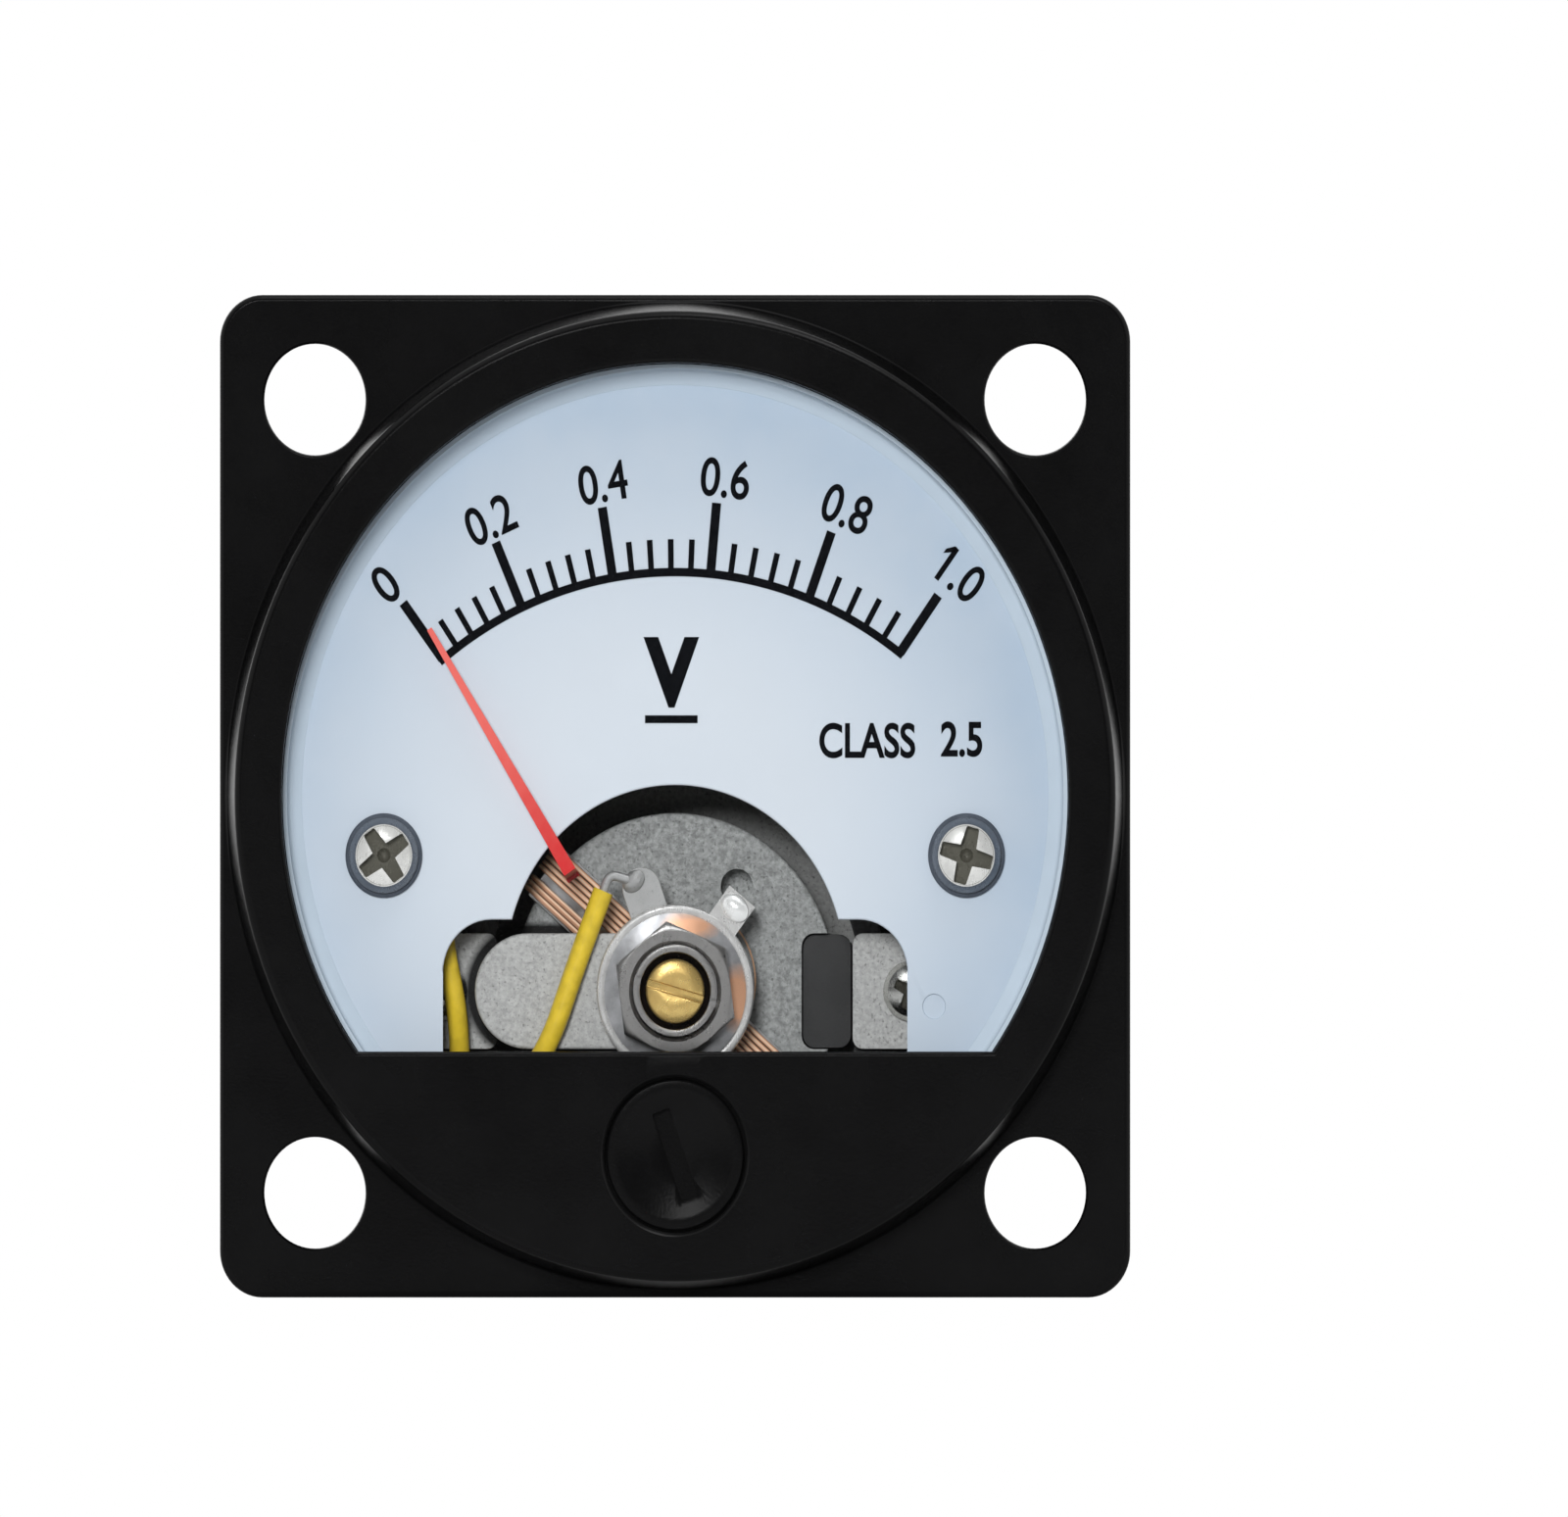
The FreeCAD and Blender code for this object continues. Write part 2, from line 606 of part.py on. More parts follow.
def rear_case():
    """The round cup behind the panel, whose front end snaps into the cover."""
    cup = disc(CASE_R, LENS_BACK, CASE_DEPTH)
    cup = cup.makeFillet(CASE_BACK_ROUND, edges_at(cup, CASE_DEPTH))
    bead_front = LENS_BACK + BEAD_INSET
    bead_back = bead_front + BEAD_WIDTH
    bead = turned([(CASE_BORE_R + CASE_WALL / 2, bead_front), (CASE_R, bead_front),
                   (CASE_R + BEAD_RISE, (bead_front + bead_back) / 2), (CASE_R, bead_back),
                   (CASE_BORE_R + CASE_WALL / 2, bead_back)])
    cup = cup.fuse(bead).cut(disc(CASE_BORE_R, LENS_BACK - PAST, FLOOR))
    for side in SIDES.values():
        pillar_x = side * DIAL_SCREW_X
        ear_x = side * EAR_X
        stud_x = side * TERMINAL_X
        cup = cup.fuse(disc(PILLAR_FLATS / math.sqrt(3) + PILLAR_BOSS_WALL, PLATE_BACK, FLOOR,
                            pillar_x, DIAL_SCREW_Z))
        cup = cup.fuse(disc(EAR_R, PLATE_BACK, FLOOR, ear_x, EAR_Z))
        cup = cup.fuse(disc(PAD_R, CASE_DEPTH - CASE_FLOOR / 2, PAD_BACK, stud_x, TERMINAL_Z))
        cup = cup.cut(disc(DIAL_SCREW_R + THREAD_FIT, PLATE_BACK - PAST,
                           PLATE_BACK + PILLAR_STUD + SCREW_FIT, pillar_x, DIAL_SCREW_Z))
        cup = cup.cut(disc(EAR_SCREW_R + THREAD_FIT, PLATE_BACK - PAST,
                           PLATE_BACK + EAR_SCREW_DEPTH + SCREW_FIT, ear_x, EAR_Z))
        cup = cup.cut(disc(STUD_R + STUD_FIT, FLOOR - PAST, PAD_BACK + PAST, stud_x, TERMINAL_Z))
    return tidy(cup)


def dial_cutout(front, back):
    """The opening in the dial over the movement: an arch on a wider base that runs off the edge."""
    arch = disc(CUTOUT_R, front, back, 0, PIVOT_Z + CUTOUT_RISE)
    shoulder = PIVOT_Z + CUTOUT_SHOULDER
    base = block(-CUTOUT_HALF, CUTOUT_HALF, front, back, -DIAL_R - PAST, shoulder)
    base = base.makeFillet(CUTOUT_CORNER, depth_edges(base, lambda x, z: z > shoulder - PAST))
    return arch.fuse(base)


def dial_plate():
    """The dial sheet, flat below the window, with its cut-out and two screw holes."""
    dial = d_shape(DIAL_R, WINDOW_CHORD_Z - DIAL_CHORD_DROP, DIAL_FRONT, DIAL_BACK)
    dial = dial.cut(dial_cutout(DIAL_FRONT - PAST, DIAL_BACK + PAST))
    for side in SIDES.values():
        dial = dial.cut(disc(DIAL_SCREW_R + SCREW_FIT, DIAL_FRONT - PAST, DIAL_BACK + PAST,
                             side * DIAL_SCREW_X, DIAL_SCREW_Z))
    return dial.cut(disc(PIN_MARK_R, DIAL_FRONT - PAST, DIAL_FRONT + PIN_MARK_DEPTH,
                         PIN_MARK_X, PIVOT_Z - PIN_MARK_DROP))


def scale_marks():
    """The printed arc of the scale with its long and short marks."""
    front = DIAL_FRONT - INK_THICK
    marks = ring(SCALE_R + SCALE_LINE, SCALE_R, front, DIAL_FRONT, 0, PIVOT_Z)
    sweep = SCALE_STEP_ANGLE * MAJOR_STEPS
    overrun = math.degrees(MAJOR_TICK_WIDTH / 2 / SCALE_R)
    left = math.radians(SCALE_START_ANGLE - overrun)
    right = math.radians(SCALE_START_ANGLE + sweep + overrun)
    reach = 2 * (SCALE_R + MAJOR_TICK)
    wedge = prism([(0, PIVOT_Z), (reach * math.sin(left), PIVOT_Z + reach * math.cos(left)),
                   (0, PIVOT_Z + 2 * reach),
                   (reach * math.sin(right), PIVOT_Z + reach * math.cos(right))],
                  front - PAST, DIAL_FRONT + PAST)
    marks = marks.common(wedge)
    for step in range(MAJOR_STEPS * MINOR_STEPS + 1):
        major = step % MINOR_STEPS == 0
        end = SCALE_R + (MAJOR_TICK if major else MINOR_TICK)
        half = (MAJOR_TICK_WIDTH if major else MINOR_TICK_WIDTH) / 2
        tick = block(-half, half, front, DIAL_FRONT, PIVOT_Z + SCALE_R + SCALE_LINE / 2, PIVOT_Z + end)
        marks = marks.fuse(about_pivot(tick, SCALE_START_ANGLE + step * SCALE_STEP_ANGLE / MINOR_STEPS))
    return tidy(marks)


def dial_screw(side):
    """A cross-recess screw that holds the dial on its pillar."""
    seat = DIAL_FRONT - WASHER_THICK
    return pan_screw(seat, SCREW_HEAD_R, SCREW_HEAD_RISE, DIAL_SCREW_R,
                     DIAL_BACK + PILLAR_SCREW_DEPTH, side * DIAL_SCREW_X, DIAL_SCREW_Z, RECESS_ANGLES[side])


def dial_washer(side):
    """The washer under a dial screw."""
    return ring(WASHER_R, DIAL_SCREW_R + SCREW_FIT, DIAL_FRONT - WASHER_THICK, DIAL_FRONT,
                side * DIAL_SCREW_X, DIAL_SCREW_Z)


def dial_pillar(side):
    """The hexagonal pillar from its boss in the case to the dial, threaded for the dial screw."""
    x = side * DIAL_SCREW_X
    pillar = hexagon(PILLAR_FLATS, DIAL_BACK, PLATE_BACK, x, DIAL_SCREW_Z)
    pillar = pillar.fuse(disc(DIAL_SCREW_R, PLATE_BACK, PLATE_BACK + PILLAR_STUD, x, DIAL_SCREW_Z))
    return pillar.cut(disc(DIAL_SCREW_R + THREAD_FIT, DIAL_BACK - PAST,
                           DIAL_BACK + PILLAR_SCREW_DEPTH + PAST, x, DIAL_SCREW_Z))


def movement_frame():
    """The cast frame: a round plate with a rim under the yoke, two clamp posts and two ears."""
    frame = disc(YOKE_R, PLATE_FRONT, PLATE_BACK, 0, PIVOT_Z)
    frame = frame.fuse(ring(YOKE_R, YOKE_BORE_R + YOKE_SEAT, YOKE_BACK, PLATE_FRONT, 0, PIVOT_Z))
    frame = frame.fuse(block(-BAR_REACH, BAR_REACH, PLATE_FRONT, PLATE_BACK,
                             PIVOT_Z - BAR_HALF, PIVOT_Z + BAR_HALF))
    for side in SIDES.values():
        near, far = sorted((side * CLAMP_POST_INNER, side * BAR_REACH))
        frame = frame.fuse(block(near, far, YOKE_FRONT, PLATE_FRONT,
                                 PIVOT_Z - BAR_HALF, PIVOT_Z + BAR_HALF))
        frame = frame.fuse(arm(side * EAR_X / 2, PIVOT_Z + EAR_RISE / 2, side * EAR_X, EAR_Z,
                               EAR_R, PLATE_FRONT, PLATE_BACK))
        frame = frame.cut(disc(EAR_SCREW_R + SCREW_FIT, PLATE_FRONT - PAST, PLATE_BACK + PAST,
                               side * EAR_X, EAR_Z))
        frame = frame.cut(disc(CLAMP_SCREW_R + THREAD_FIT, YOKE_FRONT - PAST,
                               YOKE_FRONT + CLAMP_SCREW_LENGTH + SCREW_FIT, side * CLAMP_SCREW_X, PIVOT_Z))
    frame = frame.cut(disc(JEWEL_R + THREAD_FIT, PLATE_FRONT - PAST, PLATE_BACK + PAST, 0, PIVOT_Z))
    frame = frame.cut(disc(BRIDGE_SCREW_R + SCREW_FIT, PLATE_FRONT - PAST, PLATE_BACK + PAST,
                           -POST_MIDDLE, PIVOT_Z))
    rivet_x, rivet_z = polar(SPRING_OUTER_R, ANCHOR_ANGLE)
    return tidy(frame.cut(disc(ANCHOR_RIVET_R + SCREW_FIT, PLATE_FRONT - PAST, PLATE_BACK + PAST,
                               rivet_x, rivet_z)))


def yoke_ring():
    """The soft iron ring round the coil, which closes the magnet's field."""
    return ring(YOKE_R, YOKE_BORE_R, YOKE_FRONT, YOKE_BACK, 0, PIVOT_Z)


def core_magnet():
    """The round magnet inside the coil, notched for the bridge's post and for its holder."""
    core = disc(CORE_R, CORE_FRONT, CORE_BACK, 0, PIVOT_Z)
    core = core.makeChamfer(CORE_EDGE, edges_at(core, CORE_FRONT))
    for near, far in ((-2 * CORE_R, -(CORE_R - NOTCH_LEFT)), (CORE_R - NOTCH_RIGHT, 2 * CORE_R)):
        notch = block(near, far, CORE_FRONT - PAST, CORE_BACK + PAST,
                      PIVOT_Z - NOTCH_HALF, PIVOT_Z + NOTCH_HALF)
        notch = notch.makeFillet(NOTCH_CORNER, depth_edges(notch, lambda x, z: abs(x) < CORE_R))
        core = core.cut(notch)
    x, z = polar(CORE_DIMPLE_REACH, CORE_DIMPLE_ANGLE)
    return core.cut(disc(CORE_DIMPLE_R, CORE_FRONT - PAST, CORE_FRONT + CORE_DIMPLE_DEPTH, x, z))


def core_holder():
    """The moulded block that holds the magnet from the frame."""
    outer = HOLDER_INNER + HOLDER_WIDTH
    front = CORE_FRONT + HOLDER_STEP
    head_half = NOTCH_HALF - NOTCH_GAP
    head = block(HOLDER_INNER, outer, front, front + HOLDER_HEAD, PIVOT_Z - head_half, PIVOT_Z + head_half)
    head = head.makeFillet(NOTCH_CORNER, depth_edges(head, lambda x, z: True))
    stem = block(HOLDER_INNER, outer, front + HOLDER_HEAD, PLATE_FRONT,
                 PIVOT_Z - HOLDER_WAIST, PIVOT_Z + HOLDER_WAIST)
    return tidy(head.fuse(stem))


def front_bridge():
    """The cast arm that carries the front pivot, standing on a post behind its left end."""
    bridge = arm(BRIDGE_HALF - BRIDGE_END, PIVOT_Z, 0, PIVOT_Z, BRIDGE_HALF, BRIDGE_FRONT, BRIDGE_BACK)
    bridge = tidy(bridge.fuse(disc(BRIDGE_BOSS_R, BRIDGE_FRONT, BRIDGE_BACK, 0, PIVOT_Z)))
    bridge = bridge.makeChamfer(BRIDGE_EDGE, edges_at(bridge, BRIDGE_FRONT))
    bridge = bridge.fuse(block(-POST_OUTER, -POST_INNER, BRIDGE_BACK, PLATE_FRONT,
                               PIVOT_Z - POST_HALF, PIVOT_Z + POST_HALF))
    bridge = bridge.cut(disc(BUSH_R + THREAD_FIT, BRIDGE_FRONT - PAST, BRIDGE_BACK + PAST, 0, PIVOT_Z))
    thread_end = PLATE_FRONT - BRIDGE_SCREW_DEPTH - SCREW_FIT
    return tidy(bridge.cut(disc(BRIDGE_SCREW_R + THREAD_FIT, thread_end, PLATE_FRONT + PAST,
                                -POST_MIDDLE, PIVOT_Z)))


def bridge_screw():
    """The screw through the frame's plate into the bridge's post, from behind."""
    head = disc(BRIDGE_HEAD_R, PLATE_BACK, PLATE_BACK + BRIDGE_HEAD_RISE, -POST_MIDDLE, PIVOT_Z)
    shank = disc(BRIDGE_SCREW_R, PLATE_FRONT - BRIDGE_SCREW_DEPTH, PLATE_BACK, -POST_MIDDLE, PIVOT_Z)
    slot_front = PLATE_BACK + BRIDGE_HEAD_RISE - SLOT_DEPTH
    slot = block(-2 * BRIDGE_HEAD_R, 2 * BRIDGE_HEAD_R, slot_front, PLATE_BACK + 2 * BRIDGE_HEAD_RISE,
                 -SLOT_WIDTH / 2, SLOT_WIDTH / 2)
    slot.translate(V(-POST_MIDDLE, 0, PIVOT_Z))
    return tidy(head.fuse(shank).cut(slot))


def bridge_bush():
    """The threaded bush in the bridge that the front jewel screw runs in."""
    bore = JEWEL_R + THREAD_FIT
    return turned([(BUSH_MOUTH_R, BUSH_FRONT), (BUSH_R, BUSH_FRONT), (BUSH_R, BRIDGE_BACK),
                   (bore, BRIDGE_BACK), (bore, BUSH_FRONT + BUSH_MOUTH_DEPTH),
                   (BUSH_MOUTH_R, BUSH_FRONT + BUSH_MOUTH_DEPTH)], 0, PIVOT_Z)


def jewel_screw(front, back, slot_at_front):
    """A slotted screw with a cup for the pivot's tip in the end that faces the coil."""
    screw = disc(JEWEL_R, front, back, 0, PIVOT_Z)
    cup_depth = back if slot_at_front else front
    cup_end = back - JEWEL_CUP_DEPTH if slot_at_front else front + JEWEL_CUP_DEPTH
    screw = screw.cut(turned([(0, cup_depth), (JEWEL_CUP_R, cup_depth), (0, cup_end)], 0, PIVOT_Z))
    low, high = (front - PAST, front + SLOT_DEPTH) if slot_at_front else (back - SLOT_DEPTH, back + PAST)
    slot = block(-SLOT_WIDTH / 2, SLOT_WIDTH / 2, low, high, PIVOT_Z - 2 * JEWEL_R, PIVOT_Z + 2 * JEWEL_R)
    return screw.cut(about_pivot(slot, SLOT_ANGLE))


def lock_nut():
    """The nut that locks the bush and presses the spring washer on the zero lever."""
    return nut(NUT_FLATS, BUSH_R + THREAD_FIT, NUT_FRONT, NUT_BACK, 0, PIVOT_Z, NUT_ANGLE)


def friction_washer():
    """The conical spring washer that holds the zero lever by friction."""
    inner = BUSH_R + 2 * THREAD_FIT
    rim = LEVER_FRONT - CONE_GAP
    return turned([(inner, NUT_BACK), (inner, NUT_BACK + CONE_WASHER_THICK), (CONE_WASHER_R, rim),
                   (CONE_WASHER_R, rim - CONE_WASHER_THICK)], 0, PIVOT_Z)


def solder_tag():
    """The thin tag under the zero lever, with the lug that the front lead is soldered to."""
    tag = disc(TAG_R, TAG_FRONT, BRIDGE_FRONT, 0, PIVOT_Z)
    tag = tag.fuse(arm(*polar(TAG_R / 2, TAG_LUG_ANGLE), *polar(TAG_LUG_REACH, TAG_LUG_ANGLE),
                       TAG_LUG_HALF, TAG_FRONT, BRIDGE_FRONT))
    return tidy(tag.cut(disc(BUSH_R + THREAD_FIT, TAG_FRONT - PAST, BRIDGE_FRONT + PAST, 0, PIVOT_Z)))


def yoke_clamp(side):
    """The plate that clamps the yoke ring down on the frame."""
    near, far = sorted((side * CLAMP_INNER, side * (BAR_REACH + CLAMP_OVERHANG)))
    clamp = block(near, far, YOKE_FRONT - CLAMP_THICK, YOKE_FRONT,
                  PIVOT_Z - NOTCH_HALF, PIVOT_Z + NOTCH_HALF)
    clamp = clamp.makeFillet(CLAMP_CORNER, depth_edges(clamp, lambda x, z: True))
    return clamp.cut(disc(CLAMP_SCREW_R + SCREW_FIT, YOKE_FRONT - CLAMP_THICK - PAST, YOKE_FRONT + PAST,
                          side * CLAMP_SCREW_X, PIVOT_Z))


def clamp_screw(side):
    """The screw through a yoke clamp into the frame's post."""
    return pan_screw(YOKE_FRONT - CLAMP_THICK, CLAMP_HEAD_R, CLAMP_HEAD_RISE, CLAMP_SCREW_R,
                     YOKE_FRONT + CLAMP_SCREW_LENGTH, side * CLAMP_SCREW_X, PIVOT_Z, CLAMP_RECESS_ANGLE)


def frame_screw(side):
    """The screw through an ear of the frame into its boss in the case."""
    return pan_screw(PLATE_FRONT, EAR_HEAD_R, EAR_HEAD_RISE, EAR_SCREW_R,
                     PLATE_BACK + EAR_SCREW_DEPTH, side * EAR_X, EAR_Z, EAR_RECESS_ANGLE)


def rear_lock_nut():
    """The nut that locks the rear jewel screw on the frame's plate."""
    return nut(NUT_FLATS, JEWEL_R + THREAD_FIT, PLATE_BACK, PLATE_BACK + REAR_NUT_THICK, 0, PIVOT_Z)


def rear_spring_anchor():
    """The riveted lug that holds the rear hairspring's outer end and takes the rear lead."""
    x, z = polar(SPRING_OUTER_R, ANCHOR_ANGLE)
    anchor = disc(ANCHOR_R, REAR_SPRING_FRONT, PLATE_FRONT, x, z)
    anchor = anchor.fuse(disc(ANCHOR_RIVET_R, PLATE_FRONT, PLATE_BACK, x, z))
    tail = arm(x, z, *polar(ANCHOR_TAIL_REACH, ANCHOR_TAIL_ANGLE), ANCHOR_TAIL_HALF,
               PLATE_BACK, PLATE_BACK + TERMINAL_TAG_THICK)
    return tidy(anchor.fuse(tail))


def hairspring(front, back, end_turn):
    """A flat spiral of half circles from the collet out to its fixed end."""
    halves = 2 * SPRING_TURNS
    inner = COLLET_R + SPRING_SEAT + SPRING_LEAF / 2
    outer = SPRING_OUTER_R - ANCHOR_R - SPRING_SEAT - SPRING_LEAF / 2
    growth = (outer - inner) / halves
    edges = {-1: [], 1: []}
    for i in range(halves):
        radius = inner + i * growth
        centre = 0 if i % 2 == 0 else growth
        way = 1 if i % 2 == 0 else -1
        for face in edges:
            r = radius + face * SPRING_LEAF / 2
            start, middle, end = ((centre + way * r, 0), (centre, way * r), (centre - way * r, 0))
            points = [V(x, front, z) for x, z in (start, middle, end)]
            edges[face].append(Part.Arc(*points).toShape())
    starts = [edges[face][0].valueAt(edges[face][0].FirstParameter) for face in edges]
    ends = [edges[face][-1].valueAt(edges[face][-1].LastParameter) for face in edges]
    caps = [Part.LineSegment(*starts).toShape(), Part.LineSegment(*ends).toShape()]
    outline = Part.Wire(Part.__sortEdges__(edges[-1] + edges[1] + caps))
    spring = Part.Face(outline).extrude(V(0, back - front, 0))
    spring.translate(V(0, 0, PIVOT_Z))
    return about_pivot(spring, end_turn - 90)


def pivot(base_coil, base_far, collet_end, staff_end):
    """A pivot on the coil: its base, the collet of the hairspring and the pointed staff."""
    way = 1 if staff_end > base_coil else -1
    return turned([(0, base_coil), (PIVOT_BASE_R, base_coil), (PIVOT_BASE_R, base_far),
                   (COLLET_R, base_far), (COLLET_R, collet_end), (STAFF_R, collet_end),
                   (STAFF_R, staff_end - way * STAFF_TIP), (0, staff_end)], 0, PIVOT_Z)


def front_pivot():
    """The pivot in front of the coil."""
    return pivot(COIL_FRONT, PIVOT_BASE_FRONT, SPRING_FRONT - SPRING_BASE_GAP,
                 JEWEL_BACK - JEWEL_CUP_DEPTH + TIP_GAP)


def rear_pivot():
    """The pivot behind the coil."""
    return pivot(COIL_BACK, REAR_BASE_BACK, REAR_SPRING_BACK + SPRING_BASE_GAP,
                 REAR_JEWEL_FRONT + JEWEL_CUP_DEPTH - TIP_GAP)


def coil_loop(outer_reach, front, back, wall, from_x, to_x):
    """A rectangular loop round the core, upright before it is turned to the coil's rest place."""
    outer = block(from_x, to_x, front, back, PIVOT_Z - outer_reach, PIVOT_Z + outer_reach)
    inner = block(from_x - PAST, to_x + PAST, front + wall, back - wall,
                  PIVOT_Z - outer_reach + wall, PIVOT_Z + outer_reach - wall)
    return outer.cut(inner)


def coil_former():
    """The thin aluminium frame that the coil is wound on."""
    return about_pivot(coil_loop(FORMER_REACH, COIL_FRONT + WIRE_BUILD, COIL_BACK - WIRE_BUILD,
                                 FORMER_WALL, -COIL_HALF, COIL_HALF), COIL_ANGLE)


def coil_winding():
    """The two sections of copper wire on the former, with a narrow gap between them."""
    edge = COIL_HALF - COIL_MARGIN
    sections = [(-edge, COIL_GAP_FROM), (COIL_GAP_TO, edge)]
    return [about_pivot(coil_loop(COIL_REACH, COIL_FRONT, COIL_BACK, WIRE_BUILD, a, b), COIL_ANGLE)
            for a, b in sections]


def pointer():
    """The pointer: a foot on the coil, a riser through the dial's cut-out and a tapered blade."""
    along = math.radians(POINTER_ANGLE)
    blade_back = POINTER_FRONT + POINTER_SHEET
    blade = prism([(-POINTER_ROOT_HALF, 0), (-POINTER_TIP_HALF, POINTER_LENGTH),
                   (POINTER_TIP_HALF, POINTER_LENGTH), (POINTER_ROOT_HALF, 0)], POINTER_FRONT, blade_back)
    foot_front = COIL_FRONT - POINTER_SHEET
    side = [(-POINTER_FOOT, COIL_FRONT), (-POINTER_FOOT, foot_front), (-POINTER_SHEET, foot_front),
            (0, blade_back), (0, POINTER_FRONT), (POINTER_LEAN, POINTER_FRONT),
            (POINTER_LEAN, blade_back), (POINTER_SHEET, blade_back), (0, COIL_FRONT)]
    corners = [V(-POINTER_ROOT_HALF, depth, reach) for reach, depth in side]
    riser = Part.Face(Part.makePolygon(corners + corners[:1])).extrude(V(2 * POINTER_ROOT_HALF, 0, 0))
    whole = tidy(blade.fuse(riser))
    whole.rotate(V(0, 0, 0), V(0, 1, 0), math.degrees(along))
    whole.translate(V(POINTER_X, 0, PIVOT_Z + POINTER_RISE))
    return whole


def counterweight():
    """The brass weight on the coil's far end, as heavy as balances the pointer."""
    centre = pointer().CenterOfMass - V(0, 0, PIVOT_Z)
    moment = pointer().Volume * math.hypot(centre.x, centre.z) * ALUMINIUM_DENSITY
    volume = moment / (BRASS_DENSITY * WEIGHT_REACH)
    rise = volume / (2 * WEIGHT_HALF) ** 2
    weight = block(-WEIGHT_HALF, WEIGHT_HALF, COIL_FRONT - rise, COIL_FRONT,
                   PIVOT_Z - WEIGHT_REACH - WEIGHT_HALF, PIVOT_Z - WEIGHT_REACH + WEIGHT_HALF)
    return about_pivot(weight, COIL_ANGLE)


def zero_lever():
    """The flat lever under the lock nut: a fork below and a bent tab for the hairspring above."""
    lever = disc(LEVER_R, LEVER_FRONT, LEVER_BACK, 0, PIVOT_Z)
    pin_drop = ADJUSTER_DROP - CRANK
    lever = lever.fuse(block(-FORK_HALF, FORK_HALF, LEVER_FRONT, LEVER_BACK,
                             PIVOT_Z - pin_drop - FORK_END, PIVOT_Z))
    slot_half = CRANK_PIN_R + CRANK_PIN_FIT
    lever = lever.cut(block(-slot_half, slot_half, LEVER_FRONT - PAST, LEVER_BACK + PAST,
                            PIVOT_Z - pin_drop - FORK_END - PAST, PIVOT_Z - pin_drop + FORK_DEPTH))
    tab = block(-TAB_HALF, TAB_HALF, LEVER_FRONT, LEVER_BACK, PIVOT_Z + LEVER_R - PAST, PIVOT_Z + TAB_REACH)
    tab = tab.fuse(block(-TAB_HALF, TAB_HALF, LEVER_BACK, SPRING_BACK,
                         PIVOT_Z + TAB_REACH - TAB_SHEET, PIVOT_Z + TAB_REACH))
    tab = tab.fuse(block(-ANCHOR_R, ANCHOR_R, SPRING_FRONT, SPRING_BACK,
                         PIVOT_Z + SPRING_OUTER_R - ANCHOR_R, PIVOT_Z + TAB_REACH))
    lever = lever.fuse(about_pivot(tab, TAB_ANGLE))
    return tidy(lever.cut(disc(BUSH_R + LEVER_FIT, LEVER_FRONT - PAST, LEVER_BACK + PAST, 0, PIVOT_Z)))


def zero_adjuster():
    """The slotted button in the mask, with a crank pin that turns the zero lever."""
    z = ADJUSTER_Z
    knob = turned([(0, ADJUSTER_HEAD_FRONT + ADJUSTER_DISH), (ADJUSTER_DISH_R, ADJUSTER_HEAD_FRONT),
                   (ADJUSTER_HEAD_R, ADJUSTER_HEAD_FRONT), (ADJUSTER_HEAD_R, ADJUSTER_HEAD_BACK),
                   (ADJUSTER_STEM_R, ADJUSTER_HEAD_BACK), (ADJUSTER_STEM_R, ADJUSTER_RIM_FRONT),
                   (ADJUSTER_STEM_R + ADJUSTER_RIM, ADJUSTER_RIM_FRONT),
                   (ADJUSTER_STEM_R, ADJUSTER_RIM_BACK), (0, ADJUSTER_RIM_BACK)], 0, z)
    slot = block(-ADJUSTER_SLOT_WIDTH / 2, ADJUSTER_SLOT_WIDTH / 2, ADJUSTER_HEAD_FRONT - PAST,
                 ADJUSTER_HEAD_FRONT + ADJUSTER_SLOT_DEPTH, z - ADJUSTER_SLOT_LENGTH / 2,
                 z + ADJUSTER_SLOT_LENGTH / 2)
    slot.rotate(V(0, 0, z), V(0, 1, 0), ADJUSTER_SLOT_ANGLE)
    pin = disc(CRANK_PIN_R, ADJUSTER_RIM_FRONT, LEVER_BACK + CRANK_PIN_PAST, 0, z + CRANK)
    return tidy(knob.cut(slot).fuse(pin))


def terminal_stud(side):
    """The threaded stud of a terminal, with its hexagonal head inside the case."""
    x = side * TERMINAL_X
    tag_front = FLOOR - TERMINAL_TAG_THICK
    end = PAD_BACK + STUD_REACH
    stud = turned([(0, tag_front - STUD_HEAD / 2), (STUD_R, tag_front - STUD_HEAD / 2),
                   (STUD_R, end - STUD_CHAMFER), (STUD_R - STUD_CHAMFER, end), (0, end)], x, TERMINAL_Z)
    return tidy(stud.fuse(hexagon(NUT_FLATS, tag_front - STUD_HEAD, tag_front, x, TERMINAL_Z)))


def tailed_tag(x, turn, length, front, back):
    """A flat ring round a stud with a tail for a soldered wire."""
    angle = math.radians(turn)
    tag = disc(TERMINAL_TAG_R, front, back, x, TERMINAL_Z)
    tag = tag.fuse(arm(x, TERMINAL_Z, x + length * math.sin(angle), TERMINAL_Z + length * math.cos(angle),
                       TAIL_HALF, front, back))
    return tidy(tag.cut(disc(STUD_R + STUD_FIT, front - PAST, back + PAST, x, TERMINAL_Z)))


def terminal_tag(side, turn):
    """The tag under a terminal's head, inside the case."""
    return tailed_tag(side * TERMINAL_X, turn, TAIL_LENGTH, FLOOR - TERMINAL_TAG_THICK, FLOOR)


def outer_stack(side):
    """Depths of what sits on a terminal behind the case: washer, nut, lug, washer and nut."""
    depths = [PAD_BACK]
    for thick in (OUTER_WASHER_THICK, OUTER_NUT_THICK, TERMINAL_TAG_THICK, OUTER_WASHER_THICK,
                  OUTER_NUT_THICK):
        depths.append(depths[-1] + thick)
    return side * TERMINAL_X, depths


